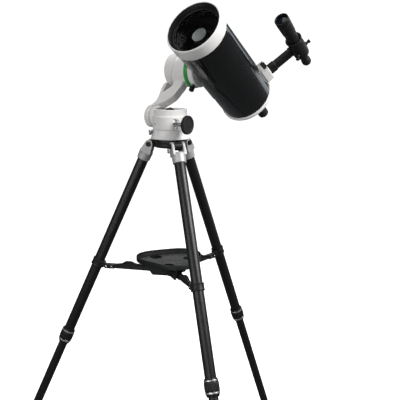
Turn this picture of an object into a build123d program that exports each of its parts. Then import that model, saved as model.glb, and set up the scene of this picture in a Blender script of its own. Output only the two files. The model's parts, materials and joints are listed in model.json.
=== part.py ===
"""Maksutov telescope on a single-arm alt-azimuth mount and tripod.

Millimetres, +Z up, origin on the floor under the middle of the footprint.  Three working frames:
leg(n)   origin on the leg's hinge, -Z down the leg, +X outwards
head     origin on the azimuth axis at hinge height, +X along the altitude axis towards the tube
ota      origin where the altitude axis meets the tube's axis, +Z out of the front, +X away from the arm
"""
from build123d import *
from math import cos, sin, radians, degrees, sqrt, atan2, hypot
import os

# ---- driving dimensions -------------------------------------------------------------------
# tripod
HINGE_R = 55.5            # hinge axis from the azimuth axis
SPLAY = 24.6              # leg angle from vertical, legs fully open
LEG_AZIMUTHS = {"a": -90.0, "b": 30.0, "c": 150.0}
UPPER_R = 14.65
UPPER_WALL = 1.2
LOWER_R = 12.45
LOWER_WALL = 1.0
UPPER_END = 632.0         # end of the upper tube, down the leg from the hinge
LOWER_TOP = 500.0         # top of the lower tube, inside the upper one
LOCK_TOP = 594.0          # upper edge of the twist lock
FOOT_CENTRE = 1084.0      # centre of the foot's ball, down the leg
FOOT_R = 16.0
FOOT_FLAT = 14.5          # ball centre above the floor, so the ball has a flat
CLAMP_AT = 367.6          # spreader clamp, down the leg
PIN_INSET = 25.8          # spreader pin, inwards from the leg's axis
LUG_HALF = 11.0           # half width of the hub's hinge lugs
BOLT_R = 4.0
RUN = 0.05                # radial clearance of a pin that turns in its hole
GAP = 0.3                 # gap between faces of parts that move past each other

# tray and spreader, radial and height below the hinge plane
ARM_PIN_IN = 45.0
ARM_HALF = 4.0
CHEEK = 2.5               # thickness of the tray's cheeks
TRAY_FLOOR = -322.0
TRAY_MEAN_R = 88.0        # outline radius, swelling towards each leg
TRAY_SWELL = 9.0
TRAY_HOLE_R = 16.2
TRAY_HOLE_TURN = -26.5    # holes sit beside the arms
TRAY_EDGE = 14.0

# mount
FLANGE_R = 51.6
BASE_BOTTOM = 14.8        # top face of the tripod hub
BASE_TOP = 39.3
HEAD_R = 46.3
TOP_RING_R = 43.4
TOP_RING_BOTTOM = 73.5
HEAD_TOP = 90.9
AZ_AXLE_R = 10.0
WORM_R = 7.0
AZ_WORM_Y = -28.0
AZ_WORM_Z = 55.5
AZ_KNOB_X = 72.0
AZ_KNOB_R = 24.0
ARM_AZIMUTH = -56.15      # altitude axis direction seen from above
PIVOT_Z = 69.6
PIVOT_R = 29.5
ARM_OUT = -66.0           # outer face of the arm, along the altitude axis
ALT_Y = 99.9              # altitude axis behind the azimuth axis
ALT_Z = 185.7
ALT_R = 43.2
ALT_CAP_R = 45.6
RING_X = (1.0, 12.4)
SADDLE_X = (12.4, 28.0)
SADDLE_KNOB_X = 20.4
DOVETAIL_X = 19.0         # wide face of the dovetail bar
SADDLE_R = 43.5
ALT_WORM_Z = 31.3         # worm above the altitude axis

# tube assembly
TUBE_X = 109.07           # tube axis from the azimuth axis, along the altitude axis
ALTITUDE = 35.5           # elevation of the tube in the rest pose
FRONT = 184.8             # front rim ahead of the altitude axis
TUBE_R = 70.5
TUBE_WALL = 1.2
RING_R = 73.8
RING_LENGTH = 34.0
OPENING_R = 70.0
CAP_DEPTH = 13.8          # how far a dust cap can go in
SEAT_R = 67.0             # bore behind it, for the lens's retaining ring
REAR = -114.6             # black tube's rear end
CELL_BACK = -129.0
LENS_R = 63.8
LENS_CURVE = 240.0
LENS_THICK = 10.0
SPOT_R = 19.0
MIRROR_R = 63.0
BAFFLE_R = 16.0
BACK_BORE_R = 15.9        # 1.25 inch eyepiece barrel
FOCUS_RHO = 48.0
FOCUS_ANGLE = -28.0
DOVETAIL_WIDE = 44.0
DOVETAIL_NARROW = 38.0
DOVETAIL_DEPTH = 19.3

# finder
FINDER_ANGLE = 51.4       # around the tube from +X
FINDER_RHO = 186.0
FINDER_FRONT = 17.4
FINDER_BACK = -169.1
STALK_Z = -96.1

FLOOR_TO_HINGE = FOOT_CENTRE * cos(radians(SPLAY)) + FOOT_FLAT
FOOT_RHO = HINGE_R + FOOT_CENTRE * sin(radians(SPLAY))
AXIS_Y = FOOT_RHO * (1 - sin(radians(30))) / 2      # puts the footprint's middle at the origin

os.makedirs("parts", exist_ok=True)

# ---- frames -------------------------------------------------------------------------------
centre = Vector(0, AXIS_Y, FLOOR_TO_HINGE)


def direction(azimuth):
    return Vector(cos(radians(azimuth)), sin(radians(azimuth)), 0)


def leg_frame(name):
    """Origin on the hinge, +Z up the leg, +X outwards."""
    out = direction(LEG_AZIMUTHS[name])
    up = Vector(0, 0, 1)
    along = out * -sin(radians(SPLAY)) + up * cos(radians(SPLAY))
    across = out * cos(radians(SPLAY)) + up * sin(radians(SPLAY))
    return Plane(origin=centre + out * HINGE_R, x_dir=across, z_dir=along).location


def radial_frame(name):
    """Origin on the azimuth axis at hinge height, +X towards the leg, +Z up."""
    return Plane(origin=centre, x_dir=direction(LEG_AZIMUTHS[name]), z_dir=(0, 0, 1)).location


axis_frame = Plane(origin=centre, z_dir=(0, 0, 1)).location
head_plane = Plane(origin=centre, x_dir=direction(ARM_AZIMUTH), z_dir=(0, 0, 1))
head_frame = head_plane.location
alt_origin = head_plane.from_local_coords(Vector(0, ALT_Y, ALT_Z))
ota_origin = head_plane.from_local_coords(Vector(TUBE_X, ALT_Y, ALT_Z))
ota_aim = (head_plane.from_local_coords(Vector(0, -cos(radians(ALTITUDE)), sin(radians(ALTITUDE)))) - centre)
ota_frame = Plane(origin=ota_origin, x_dir=direction(ARM_AZIMUTH), z_dir=ota_aim).location
finder_frame = ota_frame * Rot(0, 0, FINDER_ANGLE)   # +X out through the finder's stalk


def turned(profile):
    """Solid of revolution about Z from (radius, height) points."""
    face = make_face(Polyline(*[(r, 0, z) for r, z in profile], close=True))
    return revolve(face, Axis.Z)


def rod(r, z0, z1, inner=0.0):
    """Cylinder, or a tube when inner is given, from z0 to z1."""
    solid = Pos(0, 0, (z0 + z1) / 2) * Cylinder(r, z1 - z0)
    if inner:
        solid -= Pos(0, 0, (z0 + z1) / 2) * Cylinder(inner, z1 - z0 + 2)
    return solid


def rod_x(r, x0, x1, y=0.0, z=0.0):
    return Pos((x0 + x1) / 2, y, z) * Rot(0, 90, 0) * Cylinder(r, x1 - x0)


def rod_y(r, y0, y1, x=0.0, z=0.0):
    return Pos(x, (y0 + y1) / 2, z) * Rot(90, 0, 0) * Cylinder(r, y1 - y0)


def block(x0, x1, y0, y1, z0, z1):
    return Pos((x0 + x1) / 2, (y0 + y1) / 2, (z0 + z1) / 2) * Box(x1 - x0, y1 - y0, z1 - z0)


def plate_xz(points, half, y=0.0):
    """Plate with an outline in X and Z, its middle at y."""
    face = make_face(Polyline(*[(x, y - half, z) for x, z in points], close=True))
    return extrude(face, amount=2 * half, dir=(0, 1, 0))


def save(name, shape, frame):
    """Writes one node; a list of solids becomes one node with several solids."""
    solids = []
    for piece in shape if isinstance(shape, list) else [shape]:
        solids += list((frame * piece).solids())
    node = solids[0] if len(solids) == 1 else Compound(solids)
    export_step(node, f"parts/{name}.step")


# ---- tripod -------------------------------------------------------------------------------
def tripod_hub():
    hub = turned([(0, -8), (40, -8), (44, -4), (44, 2), (42.5, 3), (42.5, 5), (44, 6), (44, BASE_BOTTOM), (0, BASE_BOTTOM)])
    for azimuth in LEG_AZIMUTHS.values():
        lug = block(30, HINGE_R, -LUG_HALF, LUG_HALF, -8, 11) + rod_y(11, -LUG_HALF, LUG_HALF, HINGE_R)
        lug -= rod_y(BOLT_R, -LUG_HALF - 1, LUG_HALF + 1, HINGE_R)
        slot = block(43.5, 80, -30, 30, -20, BASE_BOTTOM + 1) - block(30, 80, -LUG_HALF, LUG_HALF, -30, 30)
        slot = slot & rod_y(22.5, -30, 30, HINGE_R)
        hub = hub - Rot(0, 0, azimuth) * slot + Rot(0, 0, azimuth) * lug
    hub -= rod(4.9, -20, BASE_BOTTOM + 1)
    return hub


def hinge_bolts():
    """Three hinge bolts with a flat round cap at each end."""
    bolt = rod_y(BOLT_R, -18.8, 18.8, HINGE_R)
    for side in (-1, 1):
        cap = Pos(HINGE_R, side * 20.8, 0) * Rot(90, 0, 0) * Cylinder(6.5, 4.0)
        bolt += cap
    return [Rot(0, 0, azimuth) * bolt for azimuth in LEG_AZIMUTHS.values()]


def centre_bolt():
    """Bolt that holds the mount down, with its grip under the hub."""
    grip = rod(8.5, -25, -8 - GAP)
    return grip + rod(4.76, -10, 30)


def leg_casting():
    sleeve = rod(18.5, -46, -20)
    ears = plate_xz([(-11.5, 0), (11.5, 0), (14, -21), (-14, -21)], 18.5)
    ears += rod_y(11.5, -18.5, 18.5)
    ears -= block(-30, 30, -LUG_HALF - GAP, LUG_HALF + GAP, -19.5, 30)
    body = (sleeve + ears) & rod(20.0, -46, 12)
    body -= rod(UPPER_R, -60, -22)
    body -= block(-30, -9, -7, 7, -60, -24)
    body -= rod_y(BOLT_R + RUN, -30, 30)
    return body


def upper_tube():
    return rod(UPPER_R, -UPPER_END, -22, UPPER_R - UPPER_WALL)


def lock_rings():
    z = -LOCK_TOP
    top = turned([(UPPER_R, z), (16.6, z), (18.2, z - 3), (18.2, z - 8), (UPPER_R, z - 8)])
    low = turned([(LOWER_R + GAP, -640), (15.6, -640), (18.2, -636), (18.2, -628), (UPPER_R, -628),
                  (UPPER_R, -632), (LOWER_R + GAP, -632)])
    return [top, low]


def lock_grip():
    """Barrel grip of the twist lock, with flutes."""
    z0, z1 = -628 + GAP, -LOCK_TOP - 8 - GAP
    barrel = turned([(UPPER_R + GAP, z0), (18.2, z0), (19.3, z0 + 6), (19.3, z1 - 6), (18.2, z1), (UPPER_R + GAP, z1)])
    for k in range(12):
        flute = Pos(20.4, 0, (z0 + z1) / 2) * Cylinder(1.8, 19)
        barrel -= Rot(0, 0, 30 * k) * flute
    return barrel


def lower_tube():
    return rod(LOWER_R, -FOOT_CENTRE + 4, -LOWER_TOP, LOWER_R - LOWER_WALL)


def foot(name):
    """Rubber foot: a sleeve on the tube and a ball with a flat on the floor."""
    body = rod(FOOT_R, -FOOT_CENTRE, -FOOT_CENTRE + 34) + Pos(0, 0, -FOOT_CENTRE) * Sphere(FOOT_R)
    body += turned([(0, -FOOT_CENTRE + 34), (FOOT_R, -FOOT_CENTRE + 34), (14.0, -FOOT_CENTRE + 40), (0, -FOOT_CENTRE + 40)])
    body -= rod(LOWER_R, -FOOT_CENTRE + 4, -FOOT_CENTRE + 60)
    placed = leg_frame(name) * body
    return placed - Pos(0, 0, -50) * Box(3000, 3000, 100)


def leg_clamp():
    """Band on the upper tube with the lug and moulded pin of the spreader arm."""
    band = rod(18.0, -CLAMP_AT - 10, -CLAMP_AT + 10)
    lug = block(-PIN_INSET, -10, -4, 4, -CLAMP_AT - 7, -CLAMP_AT + 7) + rod_y(7, -4, 4, -PIN_INSET, -CLAMP_AT)
    lug += rod_y(3.0, -8, 8, -PIN_INSET, -CLAMP_AT)
    return band + lug - rod(UPPER_R, -CLAMP_AT - 20, -CLAMP_AT + 20)


PIN_OUT = HINGE_R + CLAMP_AT * sin(radians(SPLAY)) - PIN_INSET * cos(radians(SPLAY))
PIN_Z = -CLAMP_AT * cos(radians(SPLAY)) - PIN_INSET * sin(radians(SPLAY))


def spreader_arm():
    """Deep tapered arm between the clamp's lug and the tray, with a fork at its outer end."""
    beam = plate_xz([(ARM_PIN_IN - 9, PIN_Z - 9), (PIN_OUT - 26, PIN_Z - 6), (PIN_OUT - 12, PIN_Z - 7),
                     (PIN_OUT - 12, PIN_Z + 7), (PIN_OUT - 44, PIN_Z + 9), (PIN_OUT - 58, PIN_Z + 16),
                     (PIN_OUT - 72, PIN_Z + 16), (ARM_PIN_IN + 14, PIN_Z + 9), (ARM_PIN_IN - 9, PIN_Z + 9)], ARM_HALF)
    fork = block(PIN_OUT - 24, PIN_OUT, -8, 8, PIN_Z - 6.5, PIN_Z + 6.5) + rod_y(6.5, -8, 8, PIN_OUT, PIN_Z)
    fork -= block(PIN_OUT - 10, PIN_OUT + 20, -4 - GAP, 4 + GAP, PIN_Z - 20, PIN_Z + 20)
    fork -= rod_y(3.0 + RUN, -12, 12, PIN_OUT, PIN_Z)
    return beam - block(PIN_OUT - 16, PIN_OUT + 20, -20, 20, PIN_Z - 20, PIN_Z + 20) + fork


def tray_outline(inset, z0, z1):
    """Rounded triangle with its corners towards the legs."""
    points = []
    for k in range(24):
        turn = radians(15 * k)
        r = TRAY_MEAN_R - inset + TRAY_SWELL * cos(3 * (turn - radians(LEG_AZIMUTHS["a"])))
        points.append((r * cos(turn), r * sin(turn), z0))
    return extrude(make_face(Spline(*points, periodic=True)), amount=z1 - z0, dir=(0, 0, 1))


def tray():
    """Accessory tray with the boss and cheeks that carry the arms' inner ends."""
    shell = tray_outline(0, TRAY_FLOOR, TRAY_FLOOR + TRAY_EDGE)
    shell -= tray_outline(2.4, TRAY_FLOOR + 2.4, TRAY_FLOOR + TRAY_EDGE + 1)
    for azimuth in LEG_AZIMUTHS.values():
        shell -= Rot(0, 0, azimuth + TRAY_HOLE_TURN) * Pos(54, 0, 0) * rod(TRAY_HOLE_R, TRAY_FLOOR - 1, TRAY_FLOOR + 4)
    under = rod(13, PIN_Z - 18, TRAY_FLOOR + 1)
    outline = [(8, TRAY_FLOOR + 1), (84, TRAY_FLOOR + 1), (52, PIN_Z - 18), (8, PIN_Z - 18)]
    for azimuth in LEG_AZIMUTHS.values():
        for side in (-1, 1):
            cheek = plate_xz(outline, CHEEK / 2, side * (ARM_HALF + GAP + CHEEK / 2))
            under += Rot(0, 0, azimuth) * cheek
    return shell + under


# ---- mount: base and turning head ---------------------------------------------------------
def az_base():
    body = turned([(0, BASE_BOTTOM), (FLANGE_R, BASE_BOTTOM), (FLANGE_R, BASE_BOTTOM + 2.5), (48.6, BASE_BOTTOM + 9),
                   (HEAD_R, BASE_BOTTOM + 18), (HEAD_R, BASE_TOP), (0, BASE_TOP)])
    body -= rod(4.76 + RUN, 0, 31)
    body -= rod(AZ_AXLE_R, 31, BASE_TOP + 1)
    body -= Rot(0, 0, 235) * rod_x(4.0 + RUN, 40, 60, 0, 32)
    return body


def az_axle():
    """Fixed post with the worm wheel, and the domed nut on top."""
    post = rod(AZ_AXLE_R, 31, 84) + rod(20.7, 50, 61)
    for k in range(36):
        post -= Rot(0, 0, 10 * k) * Pos(21.4, 0, 55.5) * Cylinder(1.3, 13)
    return post + turned([(0, 80), (15, 80), (15, 84), (11, 89.5), (8, 92.5), (0, 95)])


def az_clamp():
    """Chrome clamp screw in the side of the base."""
    screw = rod_x(4.0, 41, 50, 0, 32) + rod_x(7.0, 48.5, 58, 0, 32)
    return Rot(0, 0, 235) * screw


def turning_head():
    body = turned([(0, BASE_TOP + GAP), (HEAD_R, BASE_TOP + GAP), (HEAD_R, TOP_RING_BOTTOM), (TOP_RING_R, TOP_RING_BOTTOM),
                   (TOP_RING_R, HEAD_TOP), (0, HEAD_TOP)])
    body += rod_x(28.5, -50, -30, 0, PIVOT_Z)
    body -= rod(28, 78, HEAD_TOP + 20)
    body -= rod(38, BASE_TOP - 5, 66)
    body -= rod(AZ_AXLE_R + GAP, 0, 100)
    rest = block(-40, -18, AZ_WORM_Y - 9, AZ_WORM_Y + 9, 44, 70) & rod(42, 40, 70)
    body += rest
    body -= rod_x(13, 33.5, 70, AZ_WORM_Y, AZ_WORM_Z)
    body -= block(33.5, 70, AZ_WORM_Y - 13, AZ_WORM_Y + 13, 42, AZ_WORM_Z)
    body -= rod_x(4.0 + RUN, -26, 60, AZ_WORM_Y, AZ_WORM_Z)
    body -= rod_x(6.0, -60, -36, 0, PIVOT_Z)
    return body


def az_worm():
    shaft = rod_x(4.0, -25, AZ_KNOB_X + 8, AZ_WORM_Y, AZ_WORM_Z)
    worm = rod_x(WORM_R, -14, 14, AZ_WORM_Y, AZ_WORM_Z)
    for k in range(8):
        groove = rod_x(WORM_R + 1, -12.8 + 3.4 * k, -11.0 + 3.4 * k, AZ_WORM_Y, AZ_WORM_Z)
        groove -= rod_x(WORM_R - 1.6, -20, 20, AZ_WORM_Y, AZ_WORM_Z)
        worm -= groove
    collar = rod_x(6.2, 34, 56, AZ_WORM_Y, AZ_WORM_Z)
    return shaft + worm + collar


def az_knob():
    disc = rod_x(AZ_KNOB_R, AZ_KNOB_X, AZ_KNOB_X + 9, AZ_WORM_Y, AZ_WORM_Z)
    disc += rod_x(9, AZ_KNOB_X - 8, AZ_KNOB_X, AZ_WORM_Y, AZ_WORM_Z)
    for k in range(30):
        a = radians(12 * k)
        y = AZ_WORM_Y + (AZ_KNOB_R + 0.7) * cos(a)
        disc -= rod_x(1.3, AZ_KNOB_X - 1, AZ_KNOB_X + 10, y, AZ_WORM_Z + (AZ_KNOB_R + 0.7) * sin(a))
    return disc - rod_x(4.0, AZ_KNOB_X - 20, AZ_KNOB_X + 8, AZ_WORM_Y, AZ_WORM_Z)


# ---- mount: arm and altitude head ---------------------------------------------------------
REACH = hypot(ALT_Y, ALT_Z - PIVOT_Z)
LEAN = degrees(atan2(ALT_Y, ALT_Z - PIVOT_Z))        # the arm leans back by this much
arm_frame = Pos(0, 0, PIVOT_Z) * Rot(-LEAN, 0, 0)      # head frame to arm frame: +Z from pivot to altitude axis


def arm():
    """One casting: outer plate, inner strut and the altitude housing, with the worm's bore."""
    plate = rod_x(PIVOT_R, ARM_OUT, -50 - GAP)
    waist = extrude(make_face(Polyline((ARM_OUT, -26, 0), (ARM_OUT, 26, 0), (ARM_OUT, 20, 45), (ARM_OUT, 30, REACH - 34),
                                       (ARM_OUT, -30, REACH - 34), (ARM_OUT, -20, 45), close=True)), amount=12, dir=(1, 0, 0))
    cap = rod_x(ALT_CAP_R, ARM_OUT, -10, 0, REACH)
    strut = extrude(make_face(Polyline((-58, -11, 8), (-50 - GAP, -11, 8), (-50 - GAP, -11, 29.5), (-12, -11, 64), (-3, -11, 96),
                                       (-3, -11, REACH - 30), (-36, -11, REACH - 30), (-36, -11, 92), (-56, -11, 68),
                                       close=True)), amount=22, dir=(0, 1, 0))
    drum = rod_x(ALT_R, -60, RING_X[0] - GAP, 0, REACH)
    shear = Pos(-41.5, 0, REACH) * Rot(0, 30, 0) * block(0, 120, -90, 90, -140, 140)
    cap = cap - (Pos(0, 0, REACH) * Rot(LEAN, 0, 0) * Pos(0, 0, -REACH) * shear)
    body = plate + waist + strut + drum + cap
    body -= rod_x(6.0 + RUN, ARM_OUT - 5, -40)
    body -= Pos(0, 0, REACH) * rod_x(12.0 + RUN, -52, 10)
    body -= Pos(0, 0, REACH) * rod_x(26.0, -26, -10)
    worm_bore = rod_y(WORM_R + 0.6, -17, 26, -18, ALT_WORM_Z) + rod_y(4.0 + RUN, -22, 60, -18, ALT_WORM_Z)
    body -= Pos(0, 0, REACH) * Rot(LEAN, 0, 0) * worm_bore
    return arm_frame * body


def arm_pivot():
    """Pivot bolt that clamps the arm to the turning head."""
    return rod_x(6.0, ARM_OUT - 2, -38, 0, PIVOT_Z) + rod_x(11, ARM_OUT - 8, ARM_OUT - GAP, 0, PIVOT_Z)


def alt_axle():
    """Altitude shaft with its worm wheel."""
    shaft = rod_x(12.0, -50, SADDLE_X[0])
    shaft += rod_x(24.0, -24, -12)
    for k in range(42):
        a = radians(360 / 42 * k)
        shaft -= rod_x(1.2, -25, -11, 24.6 * cos(a), 24.6 * sin(a))
    return Pos(0, ALT_Y, ALT_Z) * shaft


def alt_worm():
    shaft = rod_y(4.0, -20, 74, -18, ALT_WORM_Z)
    worm = rod_y(WORM_R, -14, 14, -18, ALT_WORM_Z)
    for k in range(8):
        groove = rod_y(WORM_R + 1, -12.8 + 3.4 * k, -11.0 + 3.4 * k, -18, ALT_WORM_Z)
        groove -= rod_y(WORM_R - 1.6, -20, 20, -18, ALT_WORM_Z)
        worm -= groove
    return Pos(0, ALT_Y, ALT_Z) * (shaft + worm)


def alt_knob():
    disc = rod_y(20.0, 64, 76, -18, ALT_WORM_Z) + rod_y(8, 56, 64, -18, ALT_WORM_Z)
    for k in range(24):
        a = radians(15 * k)
        disc -= rod_y(1.3, 60, 80, -18 + 20.6 * cos(a), ALT_WORM_Z + 20.6 * sin(a))
    return Pos(0, ALT_Y, ALT_Z) * (disc - rod_y(4.0, 50, 74, -18, ALT_WORM_Z))


def green_ring():
    ring = rod_x(45.7, *RING_X) - rod_x(12.0, RING_X[0] - 1, RING_X[1] + 1)
    return Pos(0, ALT_Y, ALT_Z) * ring


def dovetail_outline(grow):
    """Trapezium of the bar in the ota frame's XY plane, wide face towards the saddle."""
    face_x = -TUBE_X + DOVETAIL_X
    wide = DOVETAIL_WIDE / 2 + grow
    narrow = DOVETAIL_NARROW / 2 + grow
    return [(face_x - grow, -wide, 0), (face_x - grow, wide, 0), (face_x + DOVETAIL_DEPTH, narrow, 0),
            (face_x + DOVETAIL_DEPTH, -narrow, 0)]


def dovetail():
    """Bar along the side of the tube, hollowed to the tube's curve."""
    bar = extrude(make_face(Polyline(*dovetail_outline(0.0), close=True)), amount=230, dir=(0, 0, 1))
    bar = Pos(0, 0, -104) * bar
    bar -= rod(TUBE_R, -200, 200)
    feet = []
    for z in (-94, 112):
        pad = block(-TUBE_X + 30, -60, -14, 14, z, z + 14) - rod(TUBE_R, -200, 200)
        feet.append(pad)
    for pad in feet:
        bar += pad
    for z in (-87, 119):
        bar -= Pos(0, 0, z) * rod_x(2.6, -120, -60)
    return bar


def saddle():
    """Clamp for the dovetail bar, in the ota frame."""
    x0, x1 = SADDLE_X[0] - TUBE_X, SADDLE_X[1] - TUBE_X
    disc = rod_x(SADDLE_R, x0, x1)
    slot = extrude(make_face(Polyline(*dovetail_outline(RUN), close=True)), amount=200, dir=(0, 0, 1))
    disc -= Pos(0, 0, -100) * slot
    disc -= rod_y(3.0 + RUN, -60, -20, SADDLE_KNOB_X - TUBE_X)
    return disc


def saddle_knob():
    x = SADDLE_KNOB_X - TUBE_X
    screw = rod_y(3.0, -66, -22.4, x) + rod_y(5.2, -52, -46, x) + rod_y(8.0, -66, -51, x)
    for k in range(10):
        a = radians(36 * k)
        screw -= rod_y(1.5, -67, -51, x + 8.8 * cos(a), 8.8 * sin(a))
    return screw


# ---- optical tube -------------------------------------------------------------------------
def main_tube():
    tube = rod(TUBE_R, REAR, FRONT - RING_LENGTH, TUBE_R - TUBE_WALL)
    for z in (-87, 119):
        tube -= Pos(0, 0, z) * rod_x(2.6, -120, -60)
    return tube


def front_ring():
    z0 = FRONT - RING_LENGTH
    inner = TUBE_R - TUBE_WALL
    return turned([(RING_R - 0.8, z0), (RING_R, z0 + 0.8), (RING_R, FRONT - 2), (RING_R - 1.5, FRONT), (OPENING_R, FRONT),
                   (OPENING_R, FRONT - CAP_DEPTH), (SEAT_R, FRONT - CAP_DEPTH), (SEAT_R, z0 + 8), (61.5, z0 + 8), (61.5, z0 - 10), (inner, z0 - 10), (inner, z0)])


LENS_EDGE = FRONT - RING_LENGTH + 8


def corrector():
    """Deep meniscus lens, hollow side forwards."""
    sag = LENS_CURVE - sqrt(LENS_CURVE ** 2 - LENS_R ** 2)
    blank = rod(LENS_R, LENS_EDGE - 40, LENS_EDGE + LENS_THICK)
    front = Pos(0, 0, LENS_EDGE + LENS_THICK - sag + LENS_CURVE) * Sphere(LENS_CURVE)
    back = Pos(0, 0, LENS_EDGE - sag + LENS_CURVE) * Sphere(LENS_CURVE)
    shoulder = rod(LENS_R + 5, LENS_EDGE - 40, LENS_EDGE, 61.0)
    return (blank & back) - front - shoulder


LENS_SAG = LENS_CURVE - sqrt(LENS_CURVE ** 2 - LENS_R ** 2)


def secondary_mirror():
    """Aluminised spot behind the lens and the short baffle around it."""
    z = LENS_EDGE - LENS_SAG
    back = Pos(0, 0, z + LENS_CURVE) * Sphere(LENS_CURVE)
    spot = rod(SPOT_R, z - 1.0, z + 4) - back
    baffle = rod(SPOT_R + 1.6, z - 16, z + 6, SPOT_R) - back
    return [spot, baffle]


def retaining_ring():
    """Black ring screwed into the front ring over the lens's edge."""
    z = LENS_EDGE + LENS_THICK
    return turned([(61.0, z), (SEAT_R, z), (SEAT_R, z + 2.2), (61.8, z + 2.2), (61.0, z + 1.4)])


def rear_cell():
    inner = TUBE_R - TUBE_WALL
    body = turned([(24.0, CELL_BACK), (67.5, CELL_BACK), (71.3, CELL_BACK + 4), (71.3, REAR), (inner, REAR), (inner, REAR + 12),
                   (66.0, REAR + 12), (66.0, CELL_BACK + 5), (24.0, CELL_BACK + 5)])
    a = radians(FOCUS_ANGLE)
    body -= Pos(FOCUS_RHO * cos(a), FOCUS_RHO * sin(a), 0) * rod(5.0 + RUN, CELL_BACK - 5, CELL_BACK + 10)
    return body


def primary_mirror():
    """Concave mirror on its sliding collar; the focus screw pushes its carrier."""
    mirror = rod(MIRROR_R, REAR + 8, REAR + 24)
    mirror -= Pos(0, 0, REAR + 20 + 420) * Sphere(420)
    mirror += rod(22, REAR + 2, REAR + 30)
    mirror -= rod(BAFFLE_R + GAP, REAR - 20, REAR + 60)
    a = radians(FOCUS_ANGLE)
    boss = Pos(FOCUS_RHO * cos(a), FOCUS_RHO * sin(a), 0) * rod(8, REAR + 2, REAR + 9)
    hole = Pos(FOCUS_RHO * cos(a), FOCUS_RHO * sin(a), 0) * rod(3.3, REAR - 5, REAR + 15)
    return mirror + boss - hole


def baffle_tube():
    tube = rod(BAFFLE_R, CELL_BACK + 1, 62, BAFFLE_R - 1.3)
    flange = turned([(BAFFLE_R - 1.3, CELL_BACK), (24.0, CELL_BACK), (24.0, CELL_BACK + 5), (BAFFLE_R, CELL_BACK + 8),
                     (BAFFLE_R - 1.3, CELL_BACK + 8)])
    return tube + flange


def focus_knob():
    """Knob with its screw, which threads into the mirror's carrier."""
    z = CELL_BACK
    knob = turned([(0, z - 36), (12.6, z - 36), (14.0, z - 34), (14.0, z - 10), (9.5, z - 6), (9.5, z - GAP), (0, z - GAP)])
    for k in range(18):
        b = radians(20 * k)
        knob -= Pos(14.7 * cos(b), 14.7 * sin(b), z - 22) * Cylinder(1.2, 22)
    knob += rod(5.0, z - 2, z + 7) + rod(3.0, z, REAR + 6)
    a = radians(FOCUS_ANGLE)
    return Pos(FOCUS_RHO * cos(a), FOCUS_RHO * sin(a), 0) * knob


BACK_END = CELL_BACK - 30


def visual_back():
    """Tail piece with the 1.25 inch eyepiece bore."""
    body = turned([(BACK_BORE_R, CELL_BACK), (23.5, CELL_BACK), (23.5, CELL_BACK - 9), (21.0, CELL_BACK - 11),
                   (21.0, BACK_END), (BACK_BORE_R, BACK_END)])
    return body - Rot(0, 0, 100) * rod_x(2.0 + RUN, 10, 30, 0, BACK_END + 7)


def back_screw():
    z = BACK_END + 7
    screw = rod_x(2.0, BACK_BORE_R + 0.6, 30, 0, z) + rod_x(5.0, 24, 33, 0, z)
    return Rot(0, 0, 100) * screw


# ---- finder, in the finder frame ----------------------------------------------------------
SHOE_Z = (-115.0, -72.0)
SHOE_Y = (-16.0, 20.0)
SHOE_TOP = 91.0
COLLAR_R = 18.5
FINDER_SCREWS = (0, 130, 230)     # around the finder from its outer side


def finder_shoe():
    """Shoe on the rear of the tube, with a tee slot open at its front end."""
    body = block(60, SHOE_TOP, *SHOE_Y, *SHOE_Z)
    body = fillet(body.edges().filter_by(Axis.Z).sort_by(Axis.X)[-2:], 4)
    body -= rod(71.3, -200, 200)
    body -= block(79, 87.2, SHOE_Y[0] + 4.5, SHOE_Y[1] - 3, SHOE_Z[0] + 5, SHOE_Z[1] + 1)
    body -= block(87, SHOE_TOP + 4, SHOE_Y[0] + 7.5, SHOE_Y[1] - 6, SHOE_Z[0] + 5, SHOE_Z[1] + 1)
    body -= rod_y(2.5 + RUN, 15, 36, 83, -92)
    return body


def shoe_screw():
    return rod_y(2.5, 17.1, 32, 83, -92) + rod_y(6.0, 25, 34, 83, -92)


def finder_bracket():
    """Foot, stalk and collar in one casting."""
    foot_block = block(79.2, 87.0, SHOE_Y[0] + 4.7, SHOE_Y[1] - 3.2, SHOE_Z[0] + 8, SHOE_Z[1] - 1)
    foot_block += block(86, SHOE_TOP + 0.5, SHOE_Y[0] + 7.7, SHOE_Y[1] - 6.2, SHOE_Z[0] + 8, SHOE_Z[1] - 1)
    root = block(SHOE_TOP, 111, -7.5, 7.5, STALK_Z - 10.5, STALK_Z + 10.5)
    stalk = block(88, FINDER_RHO - 10, -6.5, 6.5, STALK_Z - 9, STALK_Z + 9)
    collar = Pos(FINDER_RHO, 0, STALK_Z) * turned([(0, -32), (20.2, -32), (21.5, -20), (21.5, 8), (20.5, 24),
                                                   (22.5, 30), (22.5, 32), (0, 32)])
    body = foot_block + root + stalk + collar
    body -= Pos(FINDER_RHO, 0, 0) * rod(COLLAR_R, STALK_Z - 40, STALK_Z + 40)
    for angle in FINDER_SCREWS:
        body -= Pos(FINDER_RHO, 0, STALK_Z - 12) * Rot(0, 0, angle) * rod_x(2.0, 10, 30)
    return body


def finder_screws():
    """Alignment screws, spaced around the collar."""
    pieces = []
    for angle in FINDER_SCREWS:
        screw = rod_x(2.0, 15.5, 30) + rod_x(4.5, 27, 35)
        pieces.append(Pos(FINDER_RHO, 0, STALK_Z - 12) * Rot(0, 0, angle) * screw)
    return pieces


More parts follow.
